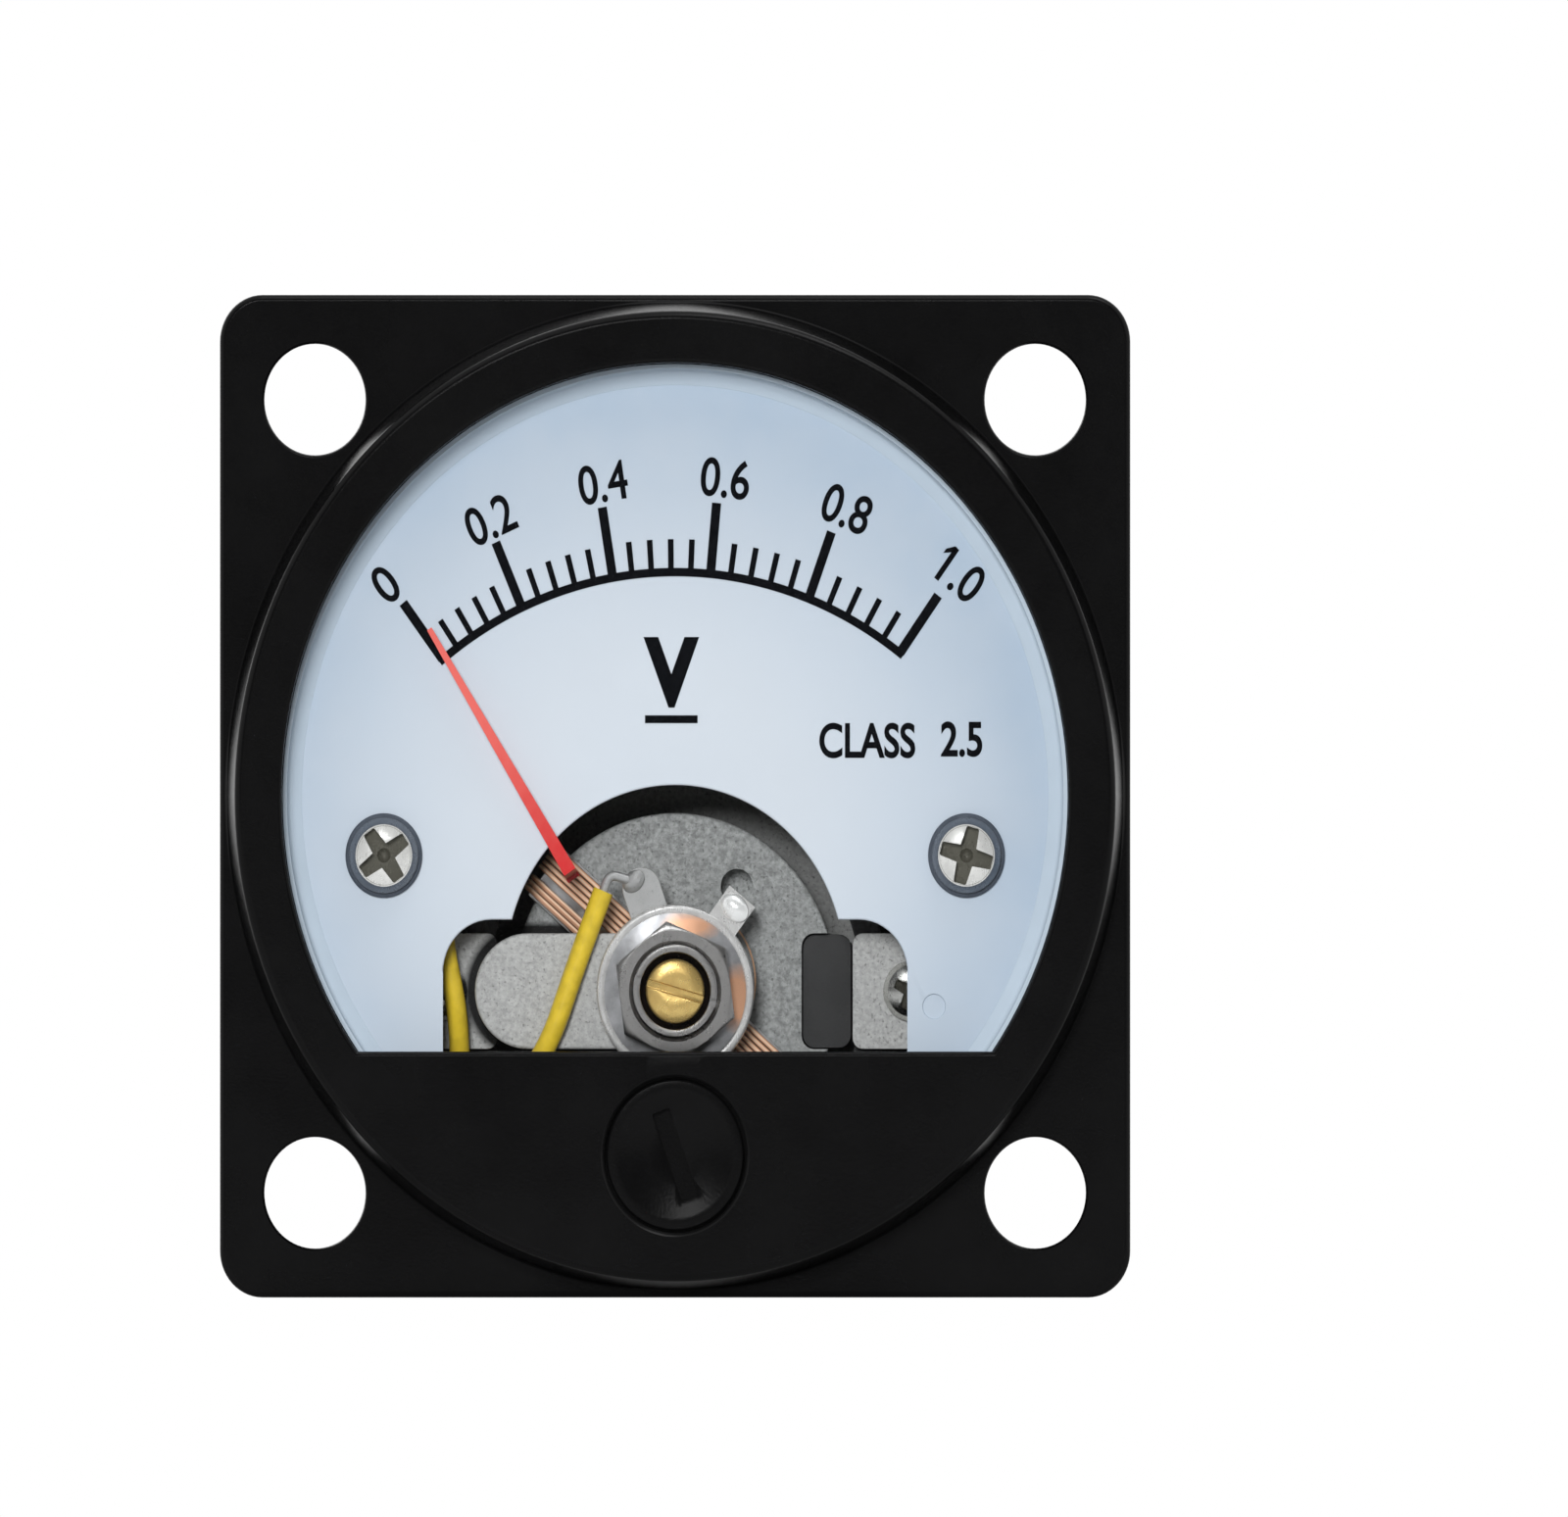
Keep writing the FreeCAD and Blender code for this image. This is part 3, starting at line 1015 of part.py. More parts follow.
def terminal_washers(side):
    """The two washers of a terminal, behind the case."""
    x, depths = outer_stack(side)
    return [ring(OUTER_WASHER_R, STUD_R + STUD_FIT, depths[i], depths[i + 1], x, TERMINAL_Z)
            for i in (0, 3)]


def terminal_nuts(side):
    """The two nuts of a terminal, behind the case."""
    x, depths = outer_stack(side)
    return [nut(NUT_FLATS, STUD_R + THREAD_FIT, depths[i], depths[i + 1], x, TERMINAL_Z, OUTER_NUT_STEP * i)
            for i in (1, 4)]


def solder_lug(side):
    """The lug between a terminal's two nuts, with an eye in its tail for the wire."""
    x, depths = outer_stack(side)
    lug = tailed_tag(x, 0.0, LUG_LENGTH, depths[2], depths[3])
    return lug.cut(disc(LUG_EYE_R, depths[2] - PAST, depths[3] + PAST, x, TERMINAL_Z + LUG_LENGTH))


def series_resistor():
    """The resistor between the coil and the right terminal."""
    ends = RESISTOR_HALF - RESISTOR_CAP
    body = turned([(0, -RESISTOR_HALF), (RESISTOR_END_R, -RESISTOR_HALF), (RESISTOR_END_R, -ends),
                   (RESISTOR_R, -ends), (RESISTOR_R, ends), (RESISTOR_END_R, ends),
                   (RESISTOR_END_R, RESISTOR_HALF), (0, RESISTOR_HALF)])
    body.rotate(V(0, 0, 0), V(0, 0, 1), 90)
    body.translate(V(0, RESISTOR_Y, TERMINAL_Z))
    return body


def bare_wires():
    """The resistor's two wires and the stripped end of the front lead."""
    tip_x = TERMINAL_X - TAIL_LENGTH
    right = [(RESISTOR_HALF, RESISTOR_Y, TERMINAL_Z), (tip_x, RESISTOR_Y, TERMINAL_Z),
             (tip_x, FLOOR - TERMINAL_TAG_THICK, TERMINAL_Z)]
    left = [(-RESISTOR_HALF, RESISTOR_Y, TERMINAL_Z),
            (-RESISTOR_HALF - RESISTOR_WIRE_END, RESISTOR_Y, TERMINAL_Z)]
    return [wire_along(left, RESISTOR_WIRE_R), wire_along(right, RESISTOR_WIRE_R),
            wire_along(FRONT_LEAD_TAIL, LEAD_CORE_R)]


def pieces():
    """Every piece of the meter by its name."""
    made = {
        "front_cover": front_cover(),
        "window_lens": window_lens(),
        "rear_case": rear_case(),
        "dial_plate": dial_plate(),
        "scale_marks": scale_marks(),
        "movement_frame": movement_frame(),
        "yoke_ring": yoke_ring(),
        "core_magnet": core_magnet(),
        "core_holder": core_holder(),
        "front_bridge": front_bridge(),
        "bridge_screw": bridge_screw(),
        "bridge_bush": bridge_bush(),
        "front_jewel_screw": jewel_screw(JEWEL_FRONT, JEWEL_BACK, True),
        "rear_jewel_screw": jewel_screw(REAR_JEWEL_FRONT, REAR_JEWEL_FRONT + REAR_JEWEL_LENGTH, False),
        "lock_nut": lock_nut(),
        "rear_lock_nut": rear_lock_nut(),
        "friction_washer": friction_washer(),
        "solder_tag": solder_tag(),
        "rear_spring_anchor": rear_spring_anchor(),
        "front_hairspring": hairspring(SPRING_FRONT, SPRING_BACK, TAB_ANGLE),
        "rear_hairspring": hairspring(REAR_SPRING_FRONT, REAR_SPRING_BACK, ANCHOR_ANGLE),
        "coil_former": coil_former(),
        "coil_winding": Part.makeCompound(coil_winding()),
        "front_pivot": front_pivot(),
        "rear_pivot": rear_pivot(),
        "pointer": pointer(),
        "counterweight": counterweight(),
        "zero_lever": zero_lever(),
        "zero_adjuster": zero_adjuster(),
        "front_lead": wire_along(FRONT_LEAD, LEAD_R),
        "rear_lead": wire_along(REAR_LEAD, LEAD_R),
        "series_resistor": series_resistor(),
        "bare_wires": Part.makeCompound(bare_wires()),
    }
    tail_turns = {"left": LEFT_TAIL_ANGLE, "right": RIGHT_TAIL_ANGLE}
    for word, side in SIDES.items():
        made["dial_screw_" + word] = dial_screw(side)
        made["dial_washer_" + word] = dial_washer(side)
        made["dial_pillar_" + word] = dial_pillar(side)
        made["yoke_clamp_" + word] = yoke_clamp(side)
        made["clamp_screw_" + word] = clamp_screw(side)
        made["frame_screw_" + word] = frame_screw(side)
        made["terminal_stud_" + word] = terminal_stud(side)
        made["terminal_tag_" + word] = terminal_tag(side, tail_turns[word])
        made["terminal_washers_" + word] = Part.makeCompound(terminal_washers(side))
        made["terminal_nuts_" + word] = Part.makeCompound(terminal_nuts(side))
        made["solder_lug_" + word] = solder_lug(side)
    return made


os.makedirs("parts", exist_ok=True)
for name, shape in pieces().items():
    shape.exportStep("parts/" + name + ".step")
    state = "valid" if shape.isValid() else "not valid"
    print(name, "solids:", len(shape.Solids), "volume:", round(shape.Volume, 3), state)
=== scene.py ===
import json
import math

import bmesh
import bpy
from bpy.props import FloatProperty, FloatVectorProperty, IntProperty, PointerProperty, StringProperty
from mathutils import Matrix, Vector


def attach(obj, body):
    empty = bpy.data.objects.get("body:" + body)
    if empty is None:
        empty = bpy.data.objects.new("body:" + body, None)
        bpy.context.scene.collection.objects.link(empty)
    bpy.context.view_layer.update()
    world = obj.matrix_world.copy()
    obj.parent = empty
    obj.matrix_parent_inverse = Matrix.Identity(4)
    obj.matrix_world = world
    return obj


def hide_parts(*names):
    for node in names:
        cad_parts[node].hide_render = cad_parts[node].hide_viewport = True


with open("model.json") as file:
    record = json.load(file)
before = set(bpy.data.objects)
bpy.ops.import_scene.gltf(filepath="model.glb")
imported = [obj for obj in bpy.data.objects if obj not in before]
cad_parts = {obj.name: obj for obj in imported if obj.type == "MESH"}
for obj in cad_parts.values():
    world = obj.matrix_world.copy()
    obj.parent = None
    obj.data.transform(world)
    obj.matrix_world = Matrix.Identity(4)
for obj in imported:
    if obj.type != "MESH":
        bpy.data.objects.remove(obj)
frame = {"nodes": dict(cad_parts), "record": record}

bl_info = {
    "name": "Panel Meter Builder",
    "version": (1, 0, 0),
    "blender": (4, 5, 0),
    "location": "View3D > Sidebar > Meter",
    "description": "Models a square panel meter with a moving coil movement round its packed frame",
    "category": "Add Mesh",
}

# Pieces are modelled in millimetres and brought down to metres when they are dressed.
# The front faces -Y, X is to the right and Z is up.
MM = 0.001
SIDES = {"left": -1, "right": 1}
SLOT_OF = {entry["node"]: entry["material_slot"] for entry in frame["record"]["subparts"]}
BODY_OF = {node: body for body, nodes in frame["record"]["behaviour"]["bodies"].items() for node in nodes}

# Places nearer together than SAME are one place, and WELD merges what a cut leaves nearly joined.
# Edges flatter than SMOOTH degrees are shaded round.
SAME = 1e-3
WELD = 4e-4
SMOOTH = 32

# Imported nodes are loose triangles: near corners are merged, and faces within FLAT degrees are joined.
PACKED_WELD = 0.002
FLAT = 0.6

# Depths of the main faces, from the front of the cover backwards
COVER_FACE = -5.8
LENS_FACE = -4.8
MASK_REAR = -4.3
LENS_REAR = -3.4
FLANGE_FACE = -2.4
DIAL_FACE = -1.6
DIAL_REAR = -1.0
LEVER_FACE = -0.45
LEVER_REAR = -0.05
BRIDGE_FACE = 0.3
BRIDGE_REAR = 1.7
CLAMP_FACE = 2.7
CLAMP_REAR = 4.2
PLATE_FACE = 14.65
PLATE_REAR = 16.35
CASE_FLOOR = 19.0
CASE_REAR = 20.5
PAD_REAR = 21.1

# Places and angles that several pieces share; of two like pieces, X is that of the right one
AXIS_Z = -8.75
ADJUSTER_Z = -16.1
LENS_CHORD = -12.4
DIAL_SCREW_X = 14.4
DIAL_SCREW_Z = -2.66
CLAMP_SCREW_X = 11.65
TERMINAL_X = 10.0
TERMINAL_Z = 8.0
ARM_HALF = 2.6
ARM_END = 7.3
HUB_SLOT_ANGLE = 15.4
TAB_ANGLE = 38.0

# Hexagons across their flats and the chamfer of their corners, and the thickness of the print
FLATS = 5.5
CHAMFER = 0.24
INK = 0.04


# Modelling

def put_down():
    """Leaves edit mode with nothing selected."""
    if bpy.context.mode != "OBJECT":
        bpy.ops.object.mode_set(mode="OBJECT")
    bpy.ops.object.select_all(action="DESELECT")


def take(piece):
    """Makes one piece the active and only selected object."""
    put_down()
    bpy.context.view_layer.objects.active = piece
    piece.select_set(True)
    return piece


def named(name):
    """Names the object that an operator has just added."""
    piece = bpy.context.object
    piece.name = name
    piece.data.name = name
    return piece


def settle(piece):
    """Puts a piece's place into its mesh."""
    take(piece)
    bpy.ops.object.transform_apply(location=True, rotation=True, scale=True)
    return piece


def open_whole(piece):
    """Opens a piece in edit mode with all of it selected."""
    take(piece)
    bpy.ops.object.mode_set(mode="EDIT")
    pick_whole()


def pick_whole():
    """Selects all of the open piece, by its vertices."""
    bpy.ops.mesh.select_mode(type="VERT")
    bpy.ops.mesh.select_all(action="SELECT")


def draw(name, points):
    """Starts a piece as a chain of vertices through points, and leaves it open in edit mode."""
    put_down()
    bpy.ops.mesh.primitive_plane_add(size=1, location=(0, 0, 0))
    piece = named(name)
    open_whole(piece)
    bpy.ops.mesh.merge(type="CENTER")
    last = Vector((0, 0, 0))
    for number, point in enumerate(points):
        step = Vector(point) - last
        if number:
            bpy.ops.mesh.extrude_vertices_move(TRANSFORM_OT_translate={"value": step})
        else:
            bpy.ops.transform.translate(value=step)
        last = Vector(point)
    return piece


def pick(test, kind="VERT"):
    """Selects the vertices, edges or faces of the open piece whose corners pass a test."""
    bpy.ops.mesh.select_mode(type=kind)
    bpy.ops.mesh.select_all(action="DESELECT")
    data = bpy.context.edit_object.data
    mesh = bmesh.from_edit_mesh(data)
    if kind == "VERT":
        for corner in mesh.verts:
            corner.select_set(test(corner.co))
    else:
        for thing in mesh.edges if kind == "EDGE" else mesh.faces:
            thing.select_set(test(*[corner.co for corner in thing.verts]))
    mesh.select_flush_mode()
    bmesh.update_edit_mesh(data)


def near(value, target, slack=SAME):
    """Tells whether two numbers are as good as the same."""
    return abs(value - target) < slack


def at(*places):
    """A test for corners that stand at one of some places."""
    return lambda p: any((p - Vector(place)).length < SAME for place in places)


def both(test):
    """A test for edges whose two ends pass a test."""
    return lambda a, b: test(a) and test(b)


def round_corners(corners, segments):
    """Rounds corners of the open chain, each given as its place and its radius."""
    for place, radius in corners:
        pick(at(place))
        bpy.ops.mesh.bevel(affect="VERTICES", offset=radius, segments=segments)


def close_chain(points):
    """Joins the two ends of the open chain."""
    pick(at(points[0], points[-1]))
    bpy.ops.mesh.edge_face_add()


def turned(name, outline, x=0.0, z=0.0, steps=96, segments=4):
    """A turned piece from its (radius, depth) outline; a third number rounds that corner."""
    points = [(x + p[0], p[1], z) for p in outline]
    piece = draw(name, points)
    if outline[0][0] or outline[-1][0]:
        close_chain(points)
    round_corners([(points[i], p[2]) for i, p in enumerate(outline) if len(p) > 2], segments)
    pick_whole()
    bpy.ops.mesh.spin(steps=steps, angle=2 * math.pi, center=(x, 0, z), axis=(0, 1, 0))
    pick_whole()
    bpy.ops.mesh.remove_doubles(threshold=SAME)
    bpy.ops.mesh.normals_make_consistent(inside=False)
    put_down()
    return piece


def cut_sheet(name, outline, front, back, segments=5):
    """A straight-sided piece from its (x, z) outline; a third number rounds that corner."""
    points = [(p[0], front, p[1]) for p in outline]
    piece = draw(name, points)
    close_chain(points)
    round_corners([(points[i], p[2]) for i, p in enumerate(outline) if len(p) > 2], segments)
    pick_whole()
    bpy.ops.mesh.edge_face_add()
    bpy.ops.mesh.extrude_region_move(TRANSFORM_OT_translate={"value": (0, back - front, 0)})
    pick_whole()
    bpy.ops.mesh.normals_make_consistent(inside=False)
    put_down()
    return piece


def rod(name, radius, front, back, x=0.0, z=0.0, steps=64):
    """A plain round bar along the depth axis, to cut with or to start from."""
    put_down()
    bpy.ops.mesh.primitive_cylinder_add(
        vertices=steps, radius=radius, depth=back - front, end_fill_type="NGON",
        location=(x, (front + back) / 2, z), rotation=(math.pi / 2, 0, 0))
    return settle(named(name))


def bar(name, x0, x1, front, back, z0, z1):
    """A plain square bar, to cut with or to start from."""
    put_down()
    bpy.ops.mesh.primitive_cube_add(
        size=1, location=((x0 + x1) / 2, (front + back) / 2, (z0 + z1) / 2),
        scale=(x1 - x0, back - front, z1 - z0))
    return settle(named(name))


def turn(piece, degrees, x=0.0, z=AXIS_Z):
    """Turns a piece clockwise, seen from the front, about a depth axis at (x, z)."""
    centre = Vector((x, 0, z))
    spin = Matrix.Rotation(math.radians(degrees), 4, "Y")
    piece.matrix_world = Matrix.Translation(centre) @ spin @ Matrix.Translation(-centre)
    return settle(piece)


def modified(piece, kind, **settings):
    """Gives a piece a modifier with its settings, and applies it."""
    take(piece)
    change = piece.modifiers.new(kind.lower(), kind)
    for key, value in settings.items():
        setattr(change, key, value)
    bpy.ops.object.modifier_apply(modifier=change.name)
    return piece


def combine(piece, tool, operation):
    """Joins a tool to a piece, or cuts it out, and removes the tool."""
    modified(piece, "BOOLEAN", object=tool, operation=operation, solver="EXACT")
    bpy.data.objects.remove(tool)
    return piece


def cut(piece, *tools):
    """Cuts tools out of a piece."""
    for tool in tools:
        combine(piece, tool, "DIFFERENCE")
    return piece


def join(piece, *tools):
    """Welds tools to a piece."""
    for tool in tools:
        combine(piece, tool, "UNION")
    return piece


def gather(name, *solids):
    """Makes several separate solids one object."""
    take(solids[0])
    for solid in solids[1:]:
        solid.select_set(True)
    bpy.ops.object.join()
    return named(name)


def soften(piece, width, segments=2, angle=35.0):
    """Rounds a piece's sharp edges."""
    return modified(piece, "BEVEL", width=width, segments=segments, limit_method="ANGLE",
                    angle_limit=math.radians(angle), miter_outer="MITER_ARC")


def bevel_where(piece, test, width, segments):
    """Rounds the edges of a piece that pass a test on their two ends."""
    take(piece)
    bpy.ops.object.mode_set(mode="EDIT")
    pick(test, "EDGE")
    bpy.ops.mesh.bevel(affect="EDGES", offset=width, segments=segments)
    put_down()
    return piece


def repeat(piece, count, pitch):
    """Lays copies of a piece side by side along X."""
    return modified(piece, "ARRAY", count=count, use_relative_offset=False, use_constant_offset=True,
                    constant_offset_displace=(pitch, 0, 0))


def dress(piece, *nodes, slot=None, body="meter_body", finish=None):
    """Brings a piece to metres, and gives it its shading, finish, body and the nodes that it replaces."""
    slot = slot or SLOT_OF[nodes[0]]
    body = BODY_OF[nodes[0]] if nodes else body
    open_whole(piece)
    bpy.ops.mesh.remove_doubles(threshold=WELD)
    put_down()
    piece.scale = (MM, MM, MM)
    settle(piece)
    bpy.ops.object.shade_smooth_by_angle(angle=math.radians(SMOOTH))
    modified(piece, "WEIGHTED_NORMAL", keep_sharp=True)
    piece.data.materials.clear()
    piece.data.materials.append(bpy.data.materials[finish or slot])
    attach(piece, body)
    if nodes:
        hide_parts(*nodes)
    return piece


def refined(node, edge=0.0, angle=30.0, pull=None):
    """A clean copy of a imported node, with merged vertices, whole faces and softened edges.

    A pull is a test for vertices and the step that they are moved by.
    """
    piece = bpy.data.objects.new(node + "_finished", frame["nodes"][node].data.copy())
    bpy.context.scene.collection.objects.link(piece)
    piece.scale = (1 / MM, 1 / MM, 1 / MM)
    open_whole(settle(piece))
    bpy.ops.mesh.remove_doubles(threshold=PACKED_WELD)
    bpy.ops.mesh.dissolve_limited(angle_limit=math.radians(FLAT))
    if pull:
        test, step = pull
        pick(test)
        bpy.ops.transform.translate(value=step)
    put_down()
    if edge:
        soften(piece, edge, 2, angle)
    return dress(piece, node)


def polar(radius, degrees):
    """The (x, z) place at a radius and an angle clockwise from straight up about the pointer's axis."""
    angle = math.radians(degrees)
    return radius * math.sin(angle), AXIS_Z + radius * math.cos(angle)


def arc(radius, start, end, count, x=0.0, z=0.0):
    """Places along an arc, with angles clockwise from straight up."""
    steps = [math.radians(start + (end - start) * i / count) for i in range(count + 1)]
    return [(x + radius * math.sin(a), z + radius * math.cos(a)) for a in steps]


def rectangle(left, right, low, high, radius=None):
    """The outline of a rectangle, with rounded corners if it has a radius."""
    corner = () if radius is None else (radius,)
    return [(x, z, *corner) for x, z in ((left, low), (left, high), (right, high), (right, low))]


def round_window(name, radius, chord, front, back, count=150):
    """A round sheet with a straight lower edge."""
    opening = math.degrees(math.acos(chord / radius))
    return cut_sheet(name, arc(radius, -opening, opening, count), front, back)


# Small parts

def screw(name, x, z, seat, radius, rise, shank, tip, recess_angle, recess):
    """A domed screw with a cross recess, its slots widened where a driver has worn them.

    The recess has its half width, its reach and its depth.
    """
    front = seat - rise
    piece = turned(name, [
        (0, front), (radius * 0.55, front + rise * 0.03), (radius * 0.84, front + rise * 0.22),
        (radius, front + rise * 0.7), (radius, seat, 0.06), (shank, seat), (shank, tip, 0.12), (0, tip)],
        x, z, 72)
    half, reach, depth = recess
    end, middle = half * 0.82, half * 1.15
    for angle in (recess_angle, recess_angle + 90):
        wing = cut_sheet("wing", [
            (-reach, -end, 0.08), (-reach, end, 0.08), (0, middle), (reach, end, 0.08), (reach, -end, 0.08),
            (0, -middle)], front - 1, front + depth)
        turn(wing, angle, 0, 0)
        wing.location = (x, 0, z)
        cut(piece, settle(wing))
    wide = half * 1.3
    point = [(0, front - 1), (wide, front - 1), (wide, front + depth * 0.6), (0, front + depth * 1.8)]
    cut(piece, turned("point", point, x, z, 24))
    return soften(piece, 0.06, 2, 40)


def hexagon(name, front, back, x, z, angle):
    """A hexagon bar with its corners turned off at both ends."""
    reach = FLATS / math.sqrt(3)
    piece = cut_sheet(name, arc(reach, angle, angle + 300, 5, x, z), front, back)
    face, rim, start, end = FLATS / 2 * 0.97, reach + 0.02, front - 0.02, back + 0.02
    outline = [(0, start), (face, start), (rim, front + CHAMFER), (rim, back - CHAMFER), (face, end),
               (0, end)]
    return combine(piece, turned("blank", outline, x, z, 96), "INTERSECT")


def nut(name, bore, front, back, x, z, angle):
    """A chamfered hexagon nut whose bore opens in a small countersink on both faces."""
    piece = hexagon(name, front, back, x, z, angle)
    mouth = 0.16
    wide = bore + mouth
    cut(piece, turned("bore", [
        (0, front - 1), (wide, front - 1), (wide, front), (bore, front + mouth), (bore, back - mouth),
        (wide, back), (wide, back + 1), (0, back + 1)], x, z, 72))
    return soften(piece, 0.04, 2, 28)


def lettering(name, words, height, width, x, z, degrees=0.0, bold=0.0, flag=0.0):
    """Printed words as thin ink, fitted to a height and a width, centred at (x, z) and turned clockwise.

    The strokes are thickened by a width, and a leading 1 can get a flag.
    """
    put_down()
    bpy.ops.object.text_add(location=(0, 0, 0), rotation=(math.pi / 2, 0, 0))
    text = bpy.context.object
    text.name = name
    text.data.body = words
    text.data.size = height * 1.4
    text.data.extrude = INK / 2
    text.data.bevel_depth = bold
    text.data.resolution_u = 6
    bpy.ops.object.convert(target="MESH")
    piece = settle(bpy.context.object)
    open_whole(piece)
    bpy.ops.mesh.remove_doubles(threshold=1e-4)
    bpy.ops.mesh.normals_make_consistent(inside=False)
    put_down()
    low = [min(v.co[i] for v in piece.data.vertices) for i in range(3)]
    high = [max(v.co[i] for v in piece.data.vertices) for i in range(3)]
    piece.location = (-(low[0] + high[0]) / 2, -high[1], -(low[2] + high[2]) / 2)
    settle(piece)
    size = [most - least for most, least in zip(high, low)]
    piece.scale = ((width - flag) / size[0], INK / size[1], height / size[2])
    piece.location = (flag / 2, 0, 0)
    settle(piece)
    if flag:
        left, top, drop, thick = -width / 2, height / 2, 0.36, 0.24
        right = left + flag + 0.12
        slope = cut_sheet("flag", [
            (left, top - drop - thick), (left, top - drop), (left + flag, top), (right, top),
            (right, top - thick)], -INK, 0)
        piece = gather(name, piece, slope)
    turn(piece, degrees, 0, 0)
    piece.location = (x, DIAL_FACE, z)
    return settle(piece)


def solder(name, x, y, z, width, depth, height, lean=0.0):
    """A set drop of solder, fuller on one side."""
    outline = [(0, -1.0), (0.42, -0.9), (0.78, -0.55), (0.96, -0.1), (1.0, 0.25), (0.7, 0.3), (0, 0.3)]
    drop = turned(name, outline, steps=32)
    drop.scale = (width, depth, height)
    settle(drop)
    bpy.ops.object.mode_set(mode="EDIT")
    pick(lambda p: p.y < -0.4 * depth and p.x > 0)
    bpy.ops.transform.translate(value=(width * 0.2, -depth * 0.12, 0))
    put_down()
    turn(drop, lean, 0, 0)
    drop.location = (x, y, z)
    return settle(drop)


# Finishes

def shade(colour, share, lift=0.0):
    """A colour made darker or lighter."""
    return [part * share + lift for part in colour]


def maths_node(operation, reflected=False):
    """A method that adds a Math node on a wire and another value."""
    def method(wire, other):
        pair = (other, wire) if reflected else (wire, other)
        return wire.finish.maths(operation, *pair)
    return method


class Wire:
    """A node's output, on which Python's operators add Math nodes."""

    def __init__(self, finish, socket):
        self.finish = finish
        self.socket = socket

    __add__ = maths_node("ADD")
    __radd__ = maths_node("ADD", reflected=True)
    __sub__ = maths_node("SUBTRACT")
    __rsub__ = maths_node("SUBTRACT", reflected=True)
    __mul__ = maths_node("MULTIPLY")
    __rmul__ = maths_node("MULTIPLY", reflected=True)
    __pow__ = maths_node("POWER")
    __gt__ = maths_node("GREATER_THAN")
    __lt__ = maths_node("LESS_THAN")


class Finish:
    """A material under the name of its slot, with its nodes added one method call at a time."""

    def __init__(self, name):
        packed = bpy.data.materials.get(name)
        if packed:
            packed.name = name + "_packed"
        self.material = bpy.data.materials.new(name)
        self.material.use_nodes = True
        self.tree = self.material.node_tree
        self.tree.nodes.clear()
        self.output = self.tree.nodes.new("ShaderNodeOutputMaterial")
        place = self.add("ShaderNodeTexCoord", output="Object")
        self.place = self.add("ShaderNodeVectorMath", {"operation": "SCALE"}, place, Scale=1 / MM)

    def add(self, kind, settings=None, *values, output=0, **named_values):
        """Adds a node: its settings first, then the values or links of its sockets. Gives one output."""
        node = self.tree.nodes.new(kind)
        for key, value in (settings or {}).items():
            setattr(node, key, value)
        pairs = [(node.inputs[i], value) for i, value in enumerate(values)]
        pairs += [(node.inputs[key.replace("_", " ")], value) for key, value in named_values.items()]
        for socket, value in pairs:
            if isinstance(value, Wire):
                self.tree.links.new(value.socket, socket)
            elif value is not None:
                opaque = socket.type == "RGBA" and len(value) == 3
                socket.default_value = (*value, 1) if opaque else value
        return Wire(self, node.outputs[output])

    def maths(self, operation, first, second):
        """A Math node on two values."""
        return self.add("ShaderNodeMath", {"operation": operation}, first, second)

    def shifted(self, turned_by=0.0, scale=(1, 1, 1), origin=(0, 0, 0)):
        """The place in millimetres, taken from an origin, turned about the depth axis and scaled."""
        centred = self.add("ShaderNodeVectorMath", {"operation": "SUBTRACT"}, self.place, origin)
        return self.add("ShaderNodeMapping", None, centred, None, (0, math.radians(turned_by), 0), scale)

    def noise(self, scale, detail=3.0, roughness=0.5, vector=None):
        """Soft noise with so many bumps to a millimetre."""
        return self.add("ShaderNodeTexNoise", None, Vector=vector or self.place, Scale=scale, Detail=detail,
                        Roughness=roughness)

    def level(self, value, low, high, bottom=0.0, top=1.0):
        """A value taken from one range to another, and held at its ends."""
        return self.add("ShaderNodeMapRange", {"clamp": True}, value, low, high, bottom, top)

    def mix(self, factor, first, second):
        """One colour over another. The five sockets after the factor are for other kinds of mix."""
        other = [None] * 5
        return self.add("ShaderNodeMix", {"data_type": "RGBA"}, factor, *other, first, second, output=2)

    def reach(self, across, up):
        """The distance of a place from a centre, from its two offsets."""
        return (across * across + up * up) ** 0.5

    def split(self, vector):
        """The three numbers of a vector."""
        node = self.add("ShaderNodeSeparateXYZ", None, vector).socket.node
        return [Wire(self, socket) for socket in node.outputs]

    def bump(self, height, depth):
        """A bump from a height between 0 and 1, with its depth in millimetres."""
        return self.add("ShaderNodeBump", None, Strength=1.0, Distance=depth * MM, Height=height)

    def shown(self, shader):
        """Puts a shader on the output, and gives the material."""
        self.tree.links.new(shader.socket, self.output.inputs["Surface"])
        return self.material

    def surface(self, **values):
        """The material with a principled surface."""
        return self.shown(self.add("ShaderNodeBsdfPrincipled", None, **values))


def grained_plastic(name, colour, roughness, grain_depth):
    """Moulded satin plastic with a fine even grain, faint flow marks and a little rubbed gloss."""
    f = Finish(name)
    grain = f.noise(7.0, 2.0)
    flow = f.noise(0.16, 3.0, 0.55)
    rubbed = f.level(f.noise(0.9, 4.0, 0.6), 0.45, 0.75)
    tone = f.mix(f.level(flow, 0.3, 0.7), colour, shade(colour, 1.6, 0.0003))
    return f.surface(Base_Color=tone, Roughness=roughness + 0.08 * (grain - 0.5) - 0.04 * rubbed,
                     Specular_IOR_Level=0.11, Normal=f.bump(grain, grain_depth))


